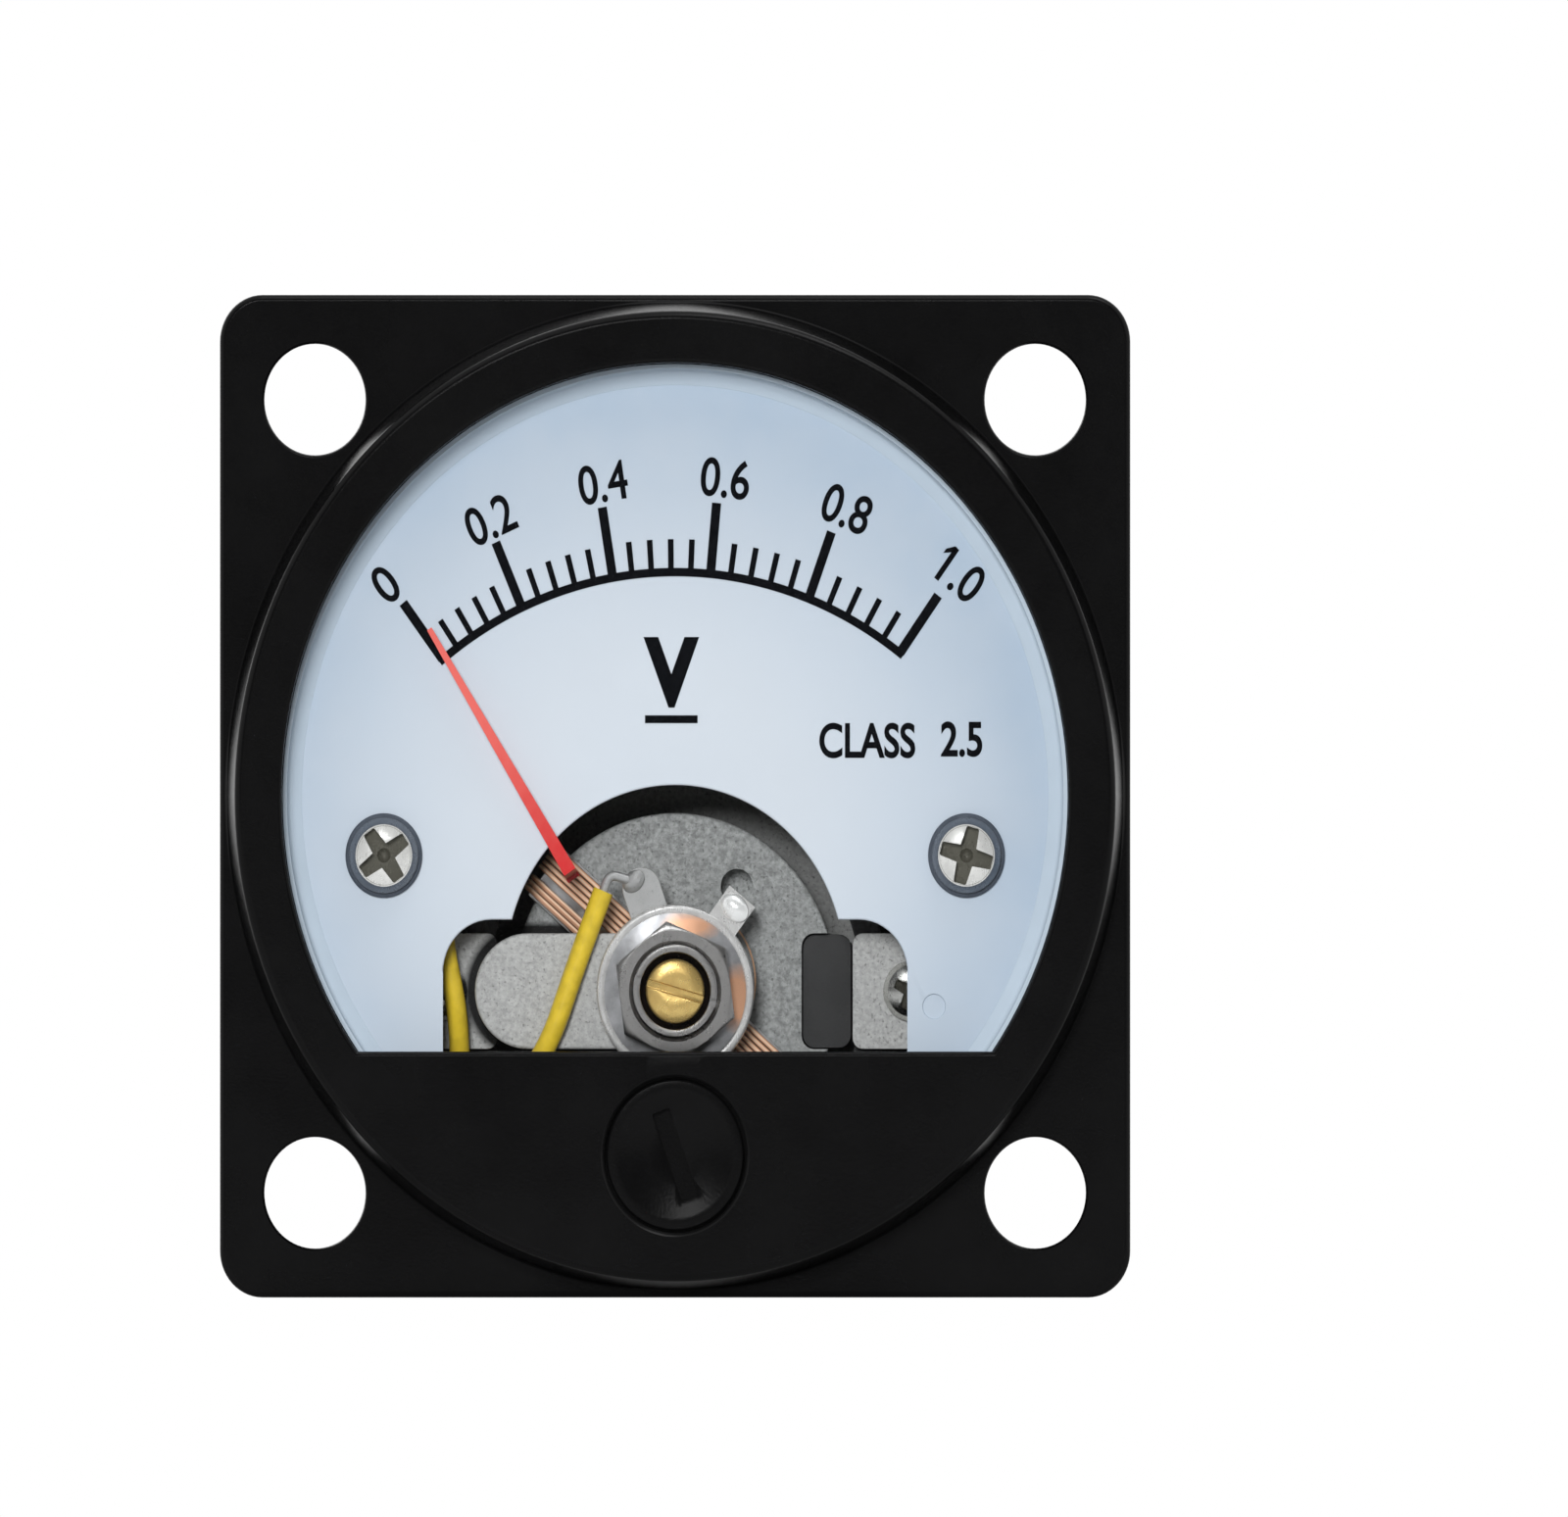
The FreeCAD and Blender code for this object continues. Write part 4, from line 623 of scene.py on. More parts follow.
def dial_enamel(colour, shaded_rim_colour):
    """Smooth matt enamel with faint clouds, darkened towards the rim by a painted shade."""
    f = Finish("dial_enamel")
    x, _, z = f.split(f.place)
    # Painted shade: the enamel darkens from an off-centre middle out to the rim.
    rim = f.level(f.reach(x + 1.5, z + 2.0), 7.0, 19.5) ** 1.4
    cloud = f.noise(0.22, 4.0, 0.6)
    fine = f.noise(5.0, 2.0)
    tone = f.mix(rim, colour, shaded_rim_colour)
    tone = f.mix(f.level(cloud, 0.35, 0.7, 0.0, 0.3), tone, shade(colour, 0.93))
    return f.surface(Base_Color=tone, Roughness=0.5 + 0.1 * (fine - 0.5), Specular_IOR_Level=0.2,
                     Normal=f.bump(fine, 0.0015))


def printed_ink(colour):
    """Dense screen ink with slightly uneven cover."""
    f = Finish("dial_ink")
    cover = f.noise(3.0, 3.0)
    tone = f.mix(f.level(cover, 0.4, 0.75), colour, shade(colour, 1.8, 0.001))
    return f.surface(Base_Color=tone, Roughness=0.5 + 0.12 * (cover - 0.5), Specular_IOR_Level=0.04,
                     Normal=f.bump(cover, 0.002))


def bright_metal(name, colour, roughness, tarnish=0.35, dark=0.5, scratch=0.004, metallic=1.0, shade_rings=()):
    """Plated metal with cloudy tarnish, fine scratches and small pits, and rings of painted shade on both
    sides.
    """
    f = Finish(name)
    cloud = f.level(f.noise(0.9, 5.0, 0.62), 0.35, 0.72)
    streak = f.noise(1.0, 3.0, 0.6, vector=f.shifted(turned_by=35.0, scale=(14.0, 1.2, 1.2)))
    pits = f.level(f.noise(6.0, 2.0), 0.62, 0.74)
    tone = f.mix(cloud * tarnish, colour, shade(colour, dark))
    tone = f.mix(pits * 0.4, tone, shade(colour, 0.35))
    x, y, z = f.split(f.place)
    aside = f.maths("ABSOLUTE", x, 0.0)
    # The rings are painted shade, mirrored to both sides of the middle.
    for centre_x, centre_z, inner, outer, depth, ring_shade in shade_rings:
        reach = f.reach(aside - centre_x, z - centre_z)
        tone = f.mix((reach > inner) * (reach < outer) * (y > depth) * (y < depth + 2.0), tone, ring_shade)
    worn = roughness + 0.14 * cloud + 0.1 * (streak - 0.5)
    return f.surface(Base_Color=tone, Metallic=metallic, Roughness=worn,
                     Normal=f.bump(streak + 0.5 * pits, scratch))


def sandy_casting(name, colour, dark, roughness, metallic, grit=3.2, depth=0.03, shadow_reach=0.1):
    """A cast or sintered face: bright grains, dark pores, patches, and a painted shadow round the bridge's
    arm.
    """
    f = Finish(name)
    grains = f.noise(grit, 4.0, 0.65)
    pores = f.level(f.noise(grit * 1.5, 2.0), 0.6, 0.7)
    patches = f.level(f.noise(0.35, 3.0), 0.35, 0.7)
    tone = f.mix(f.level(grains, 0.36, 0.66), dark, colour)
    tone = f.mix(patches * 0.35, tone, shade(colour, 0.75))
    tone = f.mix(pores * 0.55, tone, shade(dark, 0.3))
    x, y, z = f.split(f.place)
    # Painted shadow: behind the bridge's arm, a near-black band is painted round the arm's outline.
    arm = f.reach(f.maths("MINIMUM", x + ARM_END, 0.0), z - AXIS_Z)
    edge = ARM_HALF + 0.3
    arm_shadow = f.level(y, 2.2, 2.5) * f.level(arm, edge, edge + 0.2 + shadow_reach, 1.0, 0.0) * (x < -2.5)
    tone = f.mix(arm_shadow * (z > AXIS_Z - edge), tone, (0.012, 0.012, 0.012))
    return f.surface(Base_Color=tone, Metallic=metallic, Roughness=roughness + 0.2 * (grains - 0.5),
                     Normal=f.bump(grains - 0.5 * pores, depth))


def pressed_washer(colour, reflected_copper):
    """Bright grey sheet with painted copper-coloured reflections of the coil above and to the right of the
    axis.
    """
    f = Finish("pressed_washer")
    x, _, z = f.split(f.place)
    cloud = f.noise(1.1, 4.0, 0.6)
    ragged = 0.9 * (cloud - 0.5)
    # Painted reflections: copper patches where the coil would be mirrored, above and to the right of the
    # axis.
    upper_reflection = f.reach(x - 0.7, (z - AXIS_Z - 2.9) * 2.0)
    right = f.reach((x - 3.1) * math.sqrt(3.0), z - AXIS_Z + 0.3)
    glint = f.level(upper_reflection + ragged, 0.7, 1.6, 1.0, 0.0) + f.level(right + ragged, 0.9, 1.7, 1.0, 0.0)
    tone = f.mix(f.level(cloud, 0.35, 0.7), colour, shade(colour, 0.6))
    tone = f.mix(f.level(glint, 0.0, 1.0), tone, reflected_copper)
    return f.surface(Base_Color=tone, Metallic=0.7, Roughness=0.3 + 0.15 * (cloud - 0.4),
                     Normal=f.bump(cloud, 0.01))


def wound_copper(colour, dark):
    """Fine enamelled wire, laid side by side across the coil, with painted shade between the strands and a
    painted highlight along each.
    """
    f = Finish("copper_wire")
    across, _, _ = f.split(f.shifted(turned_by=50.0, origin=(0, 0, AXIS_Z)))
    strand = f.add("ShaderNodeMath", {"operation": "SINE"}, across * 23.3 + 0.76) * 0.5 + 0.5
    wander = f.noise(0.8, 3.0)
    # Painted shade darkens the gaps between the strands, and a painted highlight lightens each strand's
    # crest.
    tone = f.mix(f.level(strand, 0.05, 0.55), dark, colour)
    lit = [min(1, part) for part in shade(colour, 1.2, 0.25)]
    tone = f.mix(f.level(strand, 0.6, 1.0, 0.0, 0.7), tone, lit)
    tone = f.mix(f.level(wander, 0.4, 0.7, 0.0, 0.3), tone, shade(colour, 0.8))
    return f.surface(Base_Color=tone, Metallic=0.3, Roughness=0.34 + 0.15 * (wander - 0.5), Coat_Weight=0.4,
                     Coat_Roughness=0.2, Normal=f.bump(strand, 0.02))


def turned_brass(colour):
    """Turned brass with a fine grain and a little tarnish."""
    f = Finish("brass")
    cloud = f.noise(1.3, 4.0, 0.6)
    fine = f.noise(9.0, 2.0)
    tarnished = [colour[0] * 0.6, colour[1] * 0.5, colour[2] * 0.4]
    tone = f.mix(f.level(cloud, 0.4, 0.75, 0.0, 0.6), colour, tarnished)
    return f.surface(Base_Color=tone, Metallic=0.8, Roughness=0.26 + 0.2 * (cloud - 0.4),
                     Normal=f.bump(fine, 0.004))


def gloss_sleeve(name, colour, roughness):
    """Extruded sleeve or dipped coat: soft sheen, faint wrinkles and handling marks."""
    f = Finish(name)
    wrinkle = f.noise(1.6, 3.0)
    tone = f.mix(f.level(wrinkle, 0.35, 0.7), colour, shade(colour, 0.78))
    return f.surface(Base_Color=tone, Roughness=roughness + 0.1 * (wrinkle - 0.5), Specular_IOR_Level=0.45,
                     Normal=f.bump(wrinkle, 0.01))


def pointer_paint(colour):
    """Thin red paint on sheet, painted paler upwards towards the tip as if lit, and left deep red at the
    foot where it lies in shade.
    """
    f = Finish("pointer_red")
    wear = f.noise(2.2, 4.0)
    _, _, z = f.split(f.place)
    painted_light_red = (0.78, 0.16, 0.13)
    # Painted light: the red is mixed paler upwards along the pointer, and stays deep at the shaded foot.
    tone = f.mix(f.level(z + 3.0 * (wear - 0.5), -3.5, 3.5, 0.0, 0.75), colour, painted_light_red)
    return f.surface(Base_Color=tone, Roughness=0.4 + 0.15 * (wear - 0.5), Normal=f.bump(wear, 0.004))


def clear_acrylic(colour):
    """Clear polished window: what lies behind shows straight through, under a gloss that is held back.

    Light goes straight on at the rear face, where a slanted look would otherwise meet a full mirror.
    """
    f = Finish("clear_lens")
    smear = f.noise(0.25, 4.0, 0.6)
    gloss = f.add("ShaderNodeBsdfPrincipled", None, Base_Color=colour,
                  Roughness=0.03 + 0.05 * f.level(smear, 0.5, 0.8), Specular_IOR_Level=0.5,
                  Normal=f.bump(f.noise(0.06, 2.0), 0.01))
    through = f.add("ShaderNodeBsdfTransparent", None, (0.985, 0.99, 0.995))
    refraction, most_shine = 1.49, 0.12
    shine = f.maths("MINIMUM", f.add("ShaderNodeFresnel", None, refraction), most_shine)
    return f.shown(f.add("ShaderNodeMixShader", None, shine, through, gloss))


def frosted_acrylic(colour):
    """The window's moulded skirt: cloudy, half clear, with faint draw marks."""
    f = Finish("lens_skirt")
    cloud = f.noise(0.7, 3.0)
    tone = f.mix(f.level(cloud, 0.3, 0.7), colour, shade(colour, 0.93))
    return f.surface(Base_Color=tone, Roughness=0.5 + 0.2 * (cloud - 0.5), Alpha=0.82 + 0.1 * (cloud - 0.5),
                     Specular_IOR_Level=0.2)


def plain_floor(colour):
    """The pale floor under the meter."""
    f = Finish("stage_floor")
    soft = f.noise(0.02, 2.0)
    return f.surface(Base_Color=f.mix(soft, colour, shade(colour, 0.985)), Roughness=0.8)


def black_card():
    """The dark card behind the camera, which flat gloss faces reflect."""
    f = Finish("stage_card")
    weave = f.noise(0.5, 2.0)
    return f.surface(Base_Color=f.mix(weave, (0.006, 0.006, 0.006), (0.01, 0.01, 0.01)), Roughness=0.9)


# Settings

def length(name, description, millimetres):
    return FloatProperty(name=name, description=description, default=millimetres * MM, unit="LENGTH",
                         subtype="DISTANCE", precision=5)


def paint(name, description, colour):
    return FloatVectorProperty(name=name, description=description, default=colour, size=3, min=0, max=1,
                               subtype="COLOR")


def lamp_strength(name, description, default):
    return FloatProperty(name=name, description=description, default=default, min=0.0)


class MeterCover(bpy.types.PropertyGroup):
    side: length("Flange side", "Side of the square flange", 45.0)
    corner: length("Flange corner", "Radius of the flange's corners", 2.1)
    edge: length("Edge round", "Radius of the flange's front edge", 0.3)
    hole: length("Hole radius", "Radius of the four mounting holes", 2.5)
    pitch: length("Hole pitch", "Distance between two mounting holes", 35.6)
    window: length("Window radius", "Radius of the window opening", 19.45)
    chord: length("Window chord", "Height of the window's straight lower edge", -11.46)
    plastic: paint("Plastic", "Colour of the moulded cover and case", (0.0020, 0.0020, 0.0021))


class MeterDial(bpy.types.PropertyGroup):
    radius: length("Dial radius", "Radius of the dial sheet", 19.0)
    figures: StringProperty(name="Figures", description="Figures of the scale, from left to right",
                            default="0 0.2 0.4 0.6 0.8 1.0")
    unit: StringProperty(name="Unit", description="Letter under the scale", default="V")
    words: StringProperty(name="Class", description="Accuracy class printed on the right",
                          default="CLASS 2.5")
    scale: length("Scale radius", "Radius of the middle of the scale's line", 18.81)
    figure_height: length("Figure height", "Height of the scale's figures", 1.78)
    enamel: paint("Enamel", "Colour of the dial's middle", (0.562, 0.604, 0.65))
    # The rim colour is a painted shade that the enamel darkens to towards its edge.
    rim: paint("Rim", "Colour of the dial towards its rim", (0.385, 0.463, 0.552))
    ink: paint("Ink", "Colour of the print", (0.0020, 0.0024, 0.0034))


class MeterMovement(bpy.types.PropertyGroup):
    strands: IntProperty(name="Strands", default=5, min=1, max=20,
                         description="Wires side by side in the wide half of the coil")
    copper: paint("Copper", "Colour of the coil's wire", (0.92, 0.50, 0.31))
    casting: paint("Casting", "Colour of the cast bridge and clamps", (0.53, 0.53, 0.515))
    magnet: paint("Magnet", "Colour of the core's face", (0.415, 0.425, 0.415))
    brass: paint("Brass", "Colour of the jewel screw", (1.0, 0.71, 0.25))
    sleeve: paint("Sleeve", "Colour of the leads", (0.70, 0.50, 0.035))
    pointer: paint("Pointer", "Colour of the pointer", (0.55, 0.012, 0.014))


class MeterStage(bpy.types.PropertyGroup):
    key: lamp_strength("Key light", "Strength of the lamp beside the camera", 3.3)
    glint: lamp_strength("Glint", "Strength of the key lamp's gloss on edges", 0.5)
    top: lamp_strength("Top light", "Strength of the lamp overhead", 0.7)
    rear: lamp_strength("Rear light", "Strength of the lamp behind the meter", 0.5)
    surround: lamp_strength("Surround", "Strength of the light from all round", 0.32)
    view_width: length("View width", "Width of the camera's view", 77.51)
    view_x: length("View centre X", "Centre of the view to the right of the meter's middle", 5.382)
    view_z: length("View centre Z", "Centre of the view above the meter's middle", 1.693)
    stretch: FloatProperty(name="Upright stretch", default=1.1014, min=1.0, max=1.5,
                           description="How much taller than wide a round shape shows")
    floor: paint("Floor", "Colour of the floor", (0.86, 0.86, 0.86))


# Pieces

class METER_OT_finishes(bpy.types.Operator):
    """Makes the finish of every material slot"""
    bl_idname = "meter.finishes"
    bl_label = "Finishes"

    def execute(self, context):
        scene = context.scene
        cover, dial, movement = scene.meter_cover, scene.meter_dial, scene.meter_movement
        grained_plastic("black_plastic", cover.plastic, 0.24, 0.005)
        grained_plastic("holder_plastic", (0.034, 0.034, 0.034), 0.5, 0.03)
        dial_enamel(dial.enamel, dial.rim)
        printed_ink(dial.ink)
        # Each metal has its colour, its roughness, its share of tarnish and how dark the tarnish is.
        # A ring of painted shade has its centre, its inner and outer radius, the depth that it starts at
        # and its colour.
        # The rings paint shade into the screws' recesses, onto the dial screws' flanks and into the bush's
        # mouth.
        recess_shade, flank_shade, mouth_shade = (0.13, 0.125, 0.10), (0.10, 0.115, 0.14), (0.012, 0.008, 0.006)
        recess = (CLAMP_SCREW_X, AXIS_Z, 0.0, 0.95, 2.08, recess_shade)
        bright_metal("plated_steel", (0.82, 0.82, 0.78), 0.2, 0.45, 0.45, shade_rings=[recess])
        recess = (DIAL_SCREW_X, DIAL_SCREW_Z, 0.0, 1.34, -2.72, recess_shade)
        flank = (DIAL_SCREW_X, DIAL_SCREW_Z, 1.4, 2.0, -3.5, flank_shade)
        bright_metal("worn_steel", (0.92, 0.91, 0.87), 0.22, 0.45, 0.5, metallic=0.5,
                     shade_rings=[recess, flank])
        bright_metal("dulled_washer", (0.075, 0.09, 0.115), 0.42, 0.4, metallic=0.3)
        mouth = (0.0, AXIS_Z, 0.0, 1.76, -2.2, mouth_shade)
        bright_metal("nickel_plate", (0.53, 0.515, 0.50), 0.26, 0.5, 0.45, shade_rings=[mouth])
        bright_metal("tinned_metal", (0.58, 0.58, 0.57), 0.36, 0.4, 0.6, metallic=0.7)
        bright_metal("bright_solder", (0.95, 0.95, 0.93), 0.2, 0.25, 0.6, metallic=0.45)
        bright_metal("lever_plate", (0.80, 0.79, 0.77), 0.24, 0.6, 0.4, metallic=0.6)
        bright_metal("aluminium_foil", (0.78, 0.78, 0.78), 0.28, 0.3)
        bright_metal("spring_bronze", (0.70, 0.42, 0.26), 0.30, 0.5, 0.5)
        turned_brass(movement.brass)
        # The second colour is the painted copper reflection of the coil.
        pressed_washer((0.55, 0.55, 0.56), (0.85, 0.46, 0.28))
        casting, magnet = movement.casting, movement.magnet
        sandy_casting("cast_alloy", casting, shade(casting, 0.66), 0.55, 0.15, 4.5, 0.02, shadow_reach=0.2)
        sandy_casting("magnet_alloy", magnet, shade(magnet, 0.5), 0.55, 0.2, 4.5, 0.03)
        sandy_casting("soft_iron", (0.07, 0.07, 0.07), (0.03, 0.03, 0.03), 0.5, 0.4)
        wound_copper(movement.copper, shade(movement.copper, 0.5))
        gloss_sleeve("yellow_sleeve", movement.sleeve, 0.38)
        gloss_sleeve("resistor_coat", (0.14, 0.34, 0.40), 0.3)
        pointer_paint(movement.pointer)
        clear_acrylic((0.02, 0.02, 0.02))
        frosted_acrylic((0.58, 0.67, 0.755))
        for name, node in frame["nodes"].items():
            for place in node.material_slots:
                place.material = bpy.data.materials[SLOT_OF[name]]
        return {"FINISHED"}


class METER_OT_cover(bpy.types.Operator):
    """Models the moulded cover with its flange, ring, window, mask and mounting holes"""
    bl_idname = "meter.cover"
    bl_label = "Front cover"

    def execute(self, context):
        s = context.scene.meter_cover
        half, corner, edge = s.side / MM / 2, s.corner / MM, s.edge / MM
        window, chord = s.window / MM, s.chord / MM
        cover = bar("cover", -half, half, FLANGE_FACE, 0, -half, half)
        bevel_where(cover, lambda a, b: near(a.x, b.x) and near(a.z, b.z), corner, 14)
        bevel_where(cover, both(lambda p: near(p.y, FLANGE_FACE)), edge, 5)
        foot = 22.28
        join(cover, turned("ring", [
            (0, COVER_FACE), (21.75, COVER_FACE, 0.35), (22.15, FLANGE_FACE - 0.12, 0.1),
            (foot, FLANGE_FACE + 0.02), (foot, -1.2), (0, -1.2)], steps=192, segments=5))
        cut(cover, round_window("opening", window, chord, COVER_FACE - 1, LENS_REAR + 0.2))

        def lip(p):
            return near(p.y, COVER_FACE) and (near(math.hypot(p.x, p.z), window, 0.02) or near(p.z, chord))

        bevel_where(cover, both(lip), 0.22, 4)
        cut(cover, round_window("lens_seat", 20.25, LENS_CHORD - 0.05, LENS_FACE, -3.9, 144))
        bore = 20.85
        cut(cover, turned("inside", [
            (0, MASK_REAR), (20.3, MASK_REAR), (20.3, LENS_REAR), (bore, LENS_REAR), (bore, 0.5), (0, 0.5)],
            steps=160))
        join(cover, rod("boss", 3.3, -4.83, -3.7, 0.0, ADJUSTER_Z, 60))
        cut(cover, turned("pocket", [
            (0, -7), (3.76, -7), (3.76, COVER_FACE - 0.06), (3.56, COVER_FACE + 0.1, 0.1),
            (3.5, COVER_FACE + 0.2), (3.5, -4.7), (2.3, -4.7), (2.3, -3), (0, -3)], 0.0, ADJUSTER_Z, 96))
        reach, hole = s.pitch / MM / 2, s.hole / MM
        outline = [(0, -4), (hole + 0.18, -4), (hole + 0.18, FLANGE_FACE - 0.05),
                   (hole + 0.06, FLANGE_FACE + 0.05, 0.05), (hole, FLANGE_FACE + 0.2), (hole, 1), (0, 1)]
        for x in (-reach, reach):
            for z in (-reach, reach):
                cut(cover, turned("hole", outline, x, z, 72))
        dress(cover, "front_cover")
        return {"FINISHED"}


class METER_OT_window(bpy.types.Operator):
    """Models the clear window and the cloudy skirt behind it"""
    bl_idname = "meter.window"
    bl_label = "Window"

    def execute(self, context):
        window = round_window("window", 20.2, LENS_CHORD, LENS_FACE, LENS_REAR)
        soften(window, 0.08, 2)
        dress(window, "window_lens")
        top, foot, wall = LENS_REAR + 0.01, DIAL_FACE - 0.01, 19.2
        skirt = turned("window_skirt", [
            (19.4, top), (19.4, foot), (18.45, foot), (18.5, foot - 0.05), (wall, foot - 0.4, 0.25),
            (wall, top)], steps=160)
        cut(skirt, bar("below", -30, 30, -10, 5, -30, LENS_CHORD))
        dress(skirt, slot="clear_lens", finish="lens_skirt")
        return {"FINISHED"}


class METER_OT_dial(bpy.types.Operator):
    """Models the dial sheet with the opening over the movement"""
    bl_idname = "meter.dial"
    bl_label = "Dial"

    def execute(self, context):
        dial = round_window("dial", context.scene.meter_dial.radius / MM, -13.2, DIAL_FACE, DIAL_REAR)
        half, shoulder, arch_z, arch_r, below = 11.48, AXIS_Z + 3.21, AXIS_Z + 0.85, 8.4, -30
        meet = math.degrees(math.acos((shoulder - arch_z) / arch_r))
        outline = [(-half, below), (-half, shoulder, 2.4)]
        outline += arc(arch_r, -meet, meet, 60, 0, arch_z)
        outline += [(half, shoulder, 2.4), (half, below)]
        cut(dial, cut_sheet("opening", outline, DIAL_FACE - 1, DIAL_REAR + 1, 12))

        def rim(p):
            return near(p.y, DIAL_FACE) and abs(p.x) < 11.6 and -13.1 < p.z < 0.6

        bevel_where(dial, both(rim), 0.1, 3)
        for side in SIDES.values():
            cut(dial, rod("hole", 1.1, -3, 1, side * DIAL_SCREW_X, DIAL_SCREW_Z, 48))
        x, z, radius = 12.8, AXIS_Z - 0.69, 0.55
        cut(dial, rod("pin_mark", radius, DIAL_FACE - 1, DIAL_FACE + 0.12, x, z, 40))

        def mark(p):
            return near(p.y, DIAL_FACE) and near(math.hypot(p.x - x, p.z - z), radius, 0.01)

        bevel_where(dial, both(mark), 0.07, 2)
        dress(dial, "dial_plate")
        return {"FINISHED"}


class METER_OT_print(bpy.types.Operator):
    """Prints the figures, the unit and the class on the dial"""
    bl_idname = "meter.print"
    bl_label = "Print"

    def execute(self, context):
        s = context.scene.meter_dial
        height = s.figure_height / MM
        reaches = (23.2, 23.05, 23.1, 23.15, 23.25, 23.4)
        angles = (-38.1, -23.4, -8.9, 6.15, 21.4, 36.9)
        for number, (figure, reach, angle) in enumerate(zip(s.figures.split(), reaches, angles)):
            x, z = polar(reach, angle)
            width = 1.02 if len(figure) == 1 else 2.42
            flag = 0.3 if figure[0] == "1" else 0.0
            ink = lettering("figure_%d" % number, figure, height, width, x, z, angle, 0.03, flag)
            dress(ink, slot="dial_ink")
        unit = lettering("unit_letter", s.unit, height=3.17, width=2.75, x=-0.19, z=5.56, bold=0.2)
        dress(unit, slot="dial_ink")
        line = rectangle(-1.49, 1.11, 3.28, 3.63)
        dress(cut_sheet("unit_line", line, DIAL_FACE - INK, DIAL_FACE), slot="dial_ink")
        word, _, value = s.words.partition(" ")
        places = {"word": (word, 4.75, 9.5, 2.5), "value": (value, 2.05, 14.16, 2.56)}
        for name, (part, width, x, z) in places.items():
            dress(lettering("class_" + name, part, 1.6, width, x, z, bold=0.05), slot="dial_ink")
        dress(self.scale(s.scale / MM), "scale_marks")
        return {"FINISHED"}

    def scale(self, radius):
        """The scale's line and its ticks, which stand a little wider apart towards the right."""
        front, half, count = DIAL_FACE - INK, 0.19, 25
        angles = [-37.65 + 2.734 * i + 0.0088 * i * i for i in range(count + 1)]
        start, end, middle = angles[0] - 0.6, angles[-1] + 0.6, AXIS_Z + radius
        outline = arc(radius + half, start, end, 90, 0, AXIS_Z)
        outline += arc(radius - half, end, start, 90, 0, AXIS_Z)
        parts = [cut_sheet("line", outline, front, DIAL_FACE)]
        for number, angle in enumerate(angles):
            wide, reach = (0.225, 3.2) if number % 5 == 0 else (0.14, 1.48)
            tick = bar("tick", -wide, wide, front + 0.002, DIAL_FACE, middle, middle + reach)
            parts.append(turn(tick, angle))
        return gather("scale", *parts)


class METER_OT_dial_screws(bpy.types.Operator):
    """Models the dial's two screws, their washers and the pillars behind them"""
    bl_idname = "meter.dial_screws"
    bl_label = "Dial screws"

    def execute(self, context):
        for word, side in SIDES.items():
            x, z, seat = side * DIAL_SCREW_X, DIAL_SCREW_Z, DIAL_FACE - 0.3
            head = screw("dial_screw_head_" + word, x, z, seat, radius=1.7, rise=1.0, shank=1.0, tip=3.0,
                         recess_angle=35.0 - 20.0 * side, recess=(0.38, 1.3, 0.75))
            dress(head, "dial_screw_" + word, finish="worn_steel")
            washer = [(1.1, seat), (1.9, seat, 0.1), (1.9, DIAL_FACE, 0.04), (1.1, DIAL_FACE)]
            dress(turned("dial_washer_ring_" + word, washer, x, z, 64), "dial_washer_" + word,
                  finish="dulled_washer")
            refined("dial_pillar_" + word, 0.08)
        return {"FINISHED"}


class METER_OT_core(bpy.types.Operator):
    """Models the round magnet inside the coil, its holder, the yoke ring and the frame behind"""
    bl_idname = "meter.core"
    bl_label = "Core"

    def execute(self, context):
        core = turned("core", [(0, 3.7), (8.0, 3.7, 0.18), (8.0, 12.7, 0.1), (0, 12.7)], 0, AXIS_Z, 128)
        for left, right in ((-12, -6.4), (6.25, 12)):
            notch = rectangle(left, right, AXIS_Z - ARM_HALF, AXIS_Z + ARM_HALF, 0.6)
            cut(core, cut_sheet("notch", notch, 2, 14))
        x, z = polar(5.6, 33.0)
        cut(core, rod("dimple", 0.8, 2, 5.7, x, z, 40))
        soften(core, 0.08, 2, 50)
        dress(core, "core_magnet")
        holder = cut_sheet("holder", rectangle(6.3, 8.7, AXIS_Z - 2.55, AXIS_Z + 2.55, 0.6), 4.3, 6.0)
        soften(holder, 0.06, 2, 50)
        join(holder, bar("stem", 6.32, 8.68, 5.9, PLATE_FACE, AXIS_Z - 2.2, AXIS_Z + 2.2))
        dress(holder, "core_holder", finish="holder_plastic")
        refined("yoke_ring", 0.1, 60)
        refined("movement_frame", 0.1, 60)
        return {"FINISHED"}


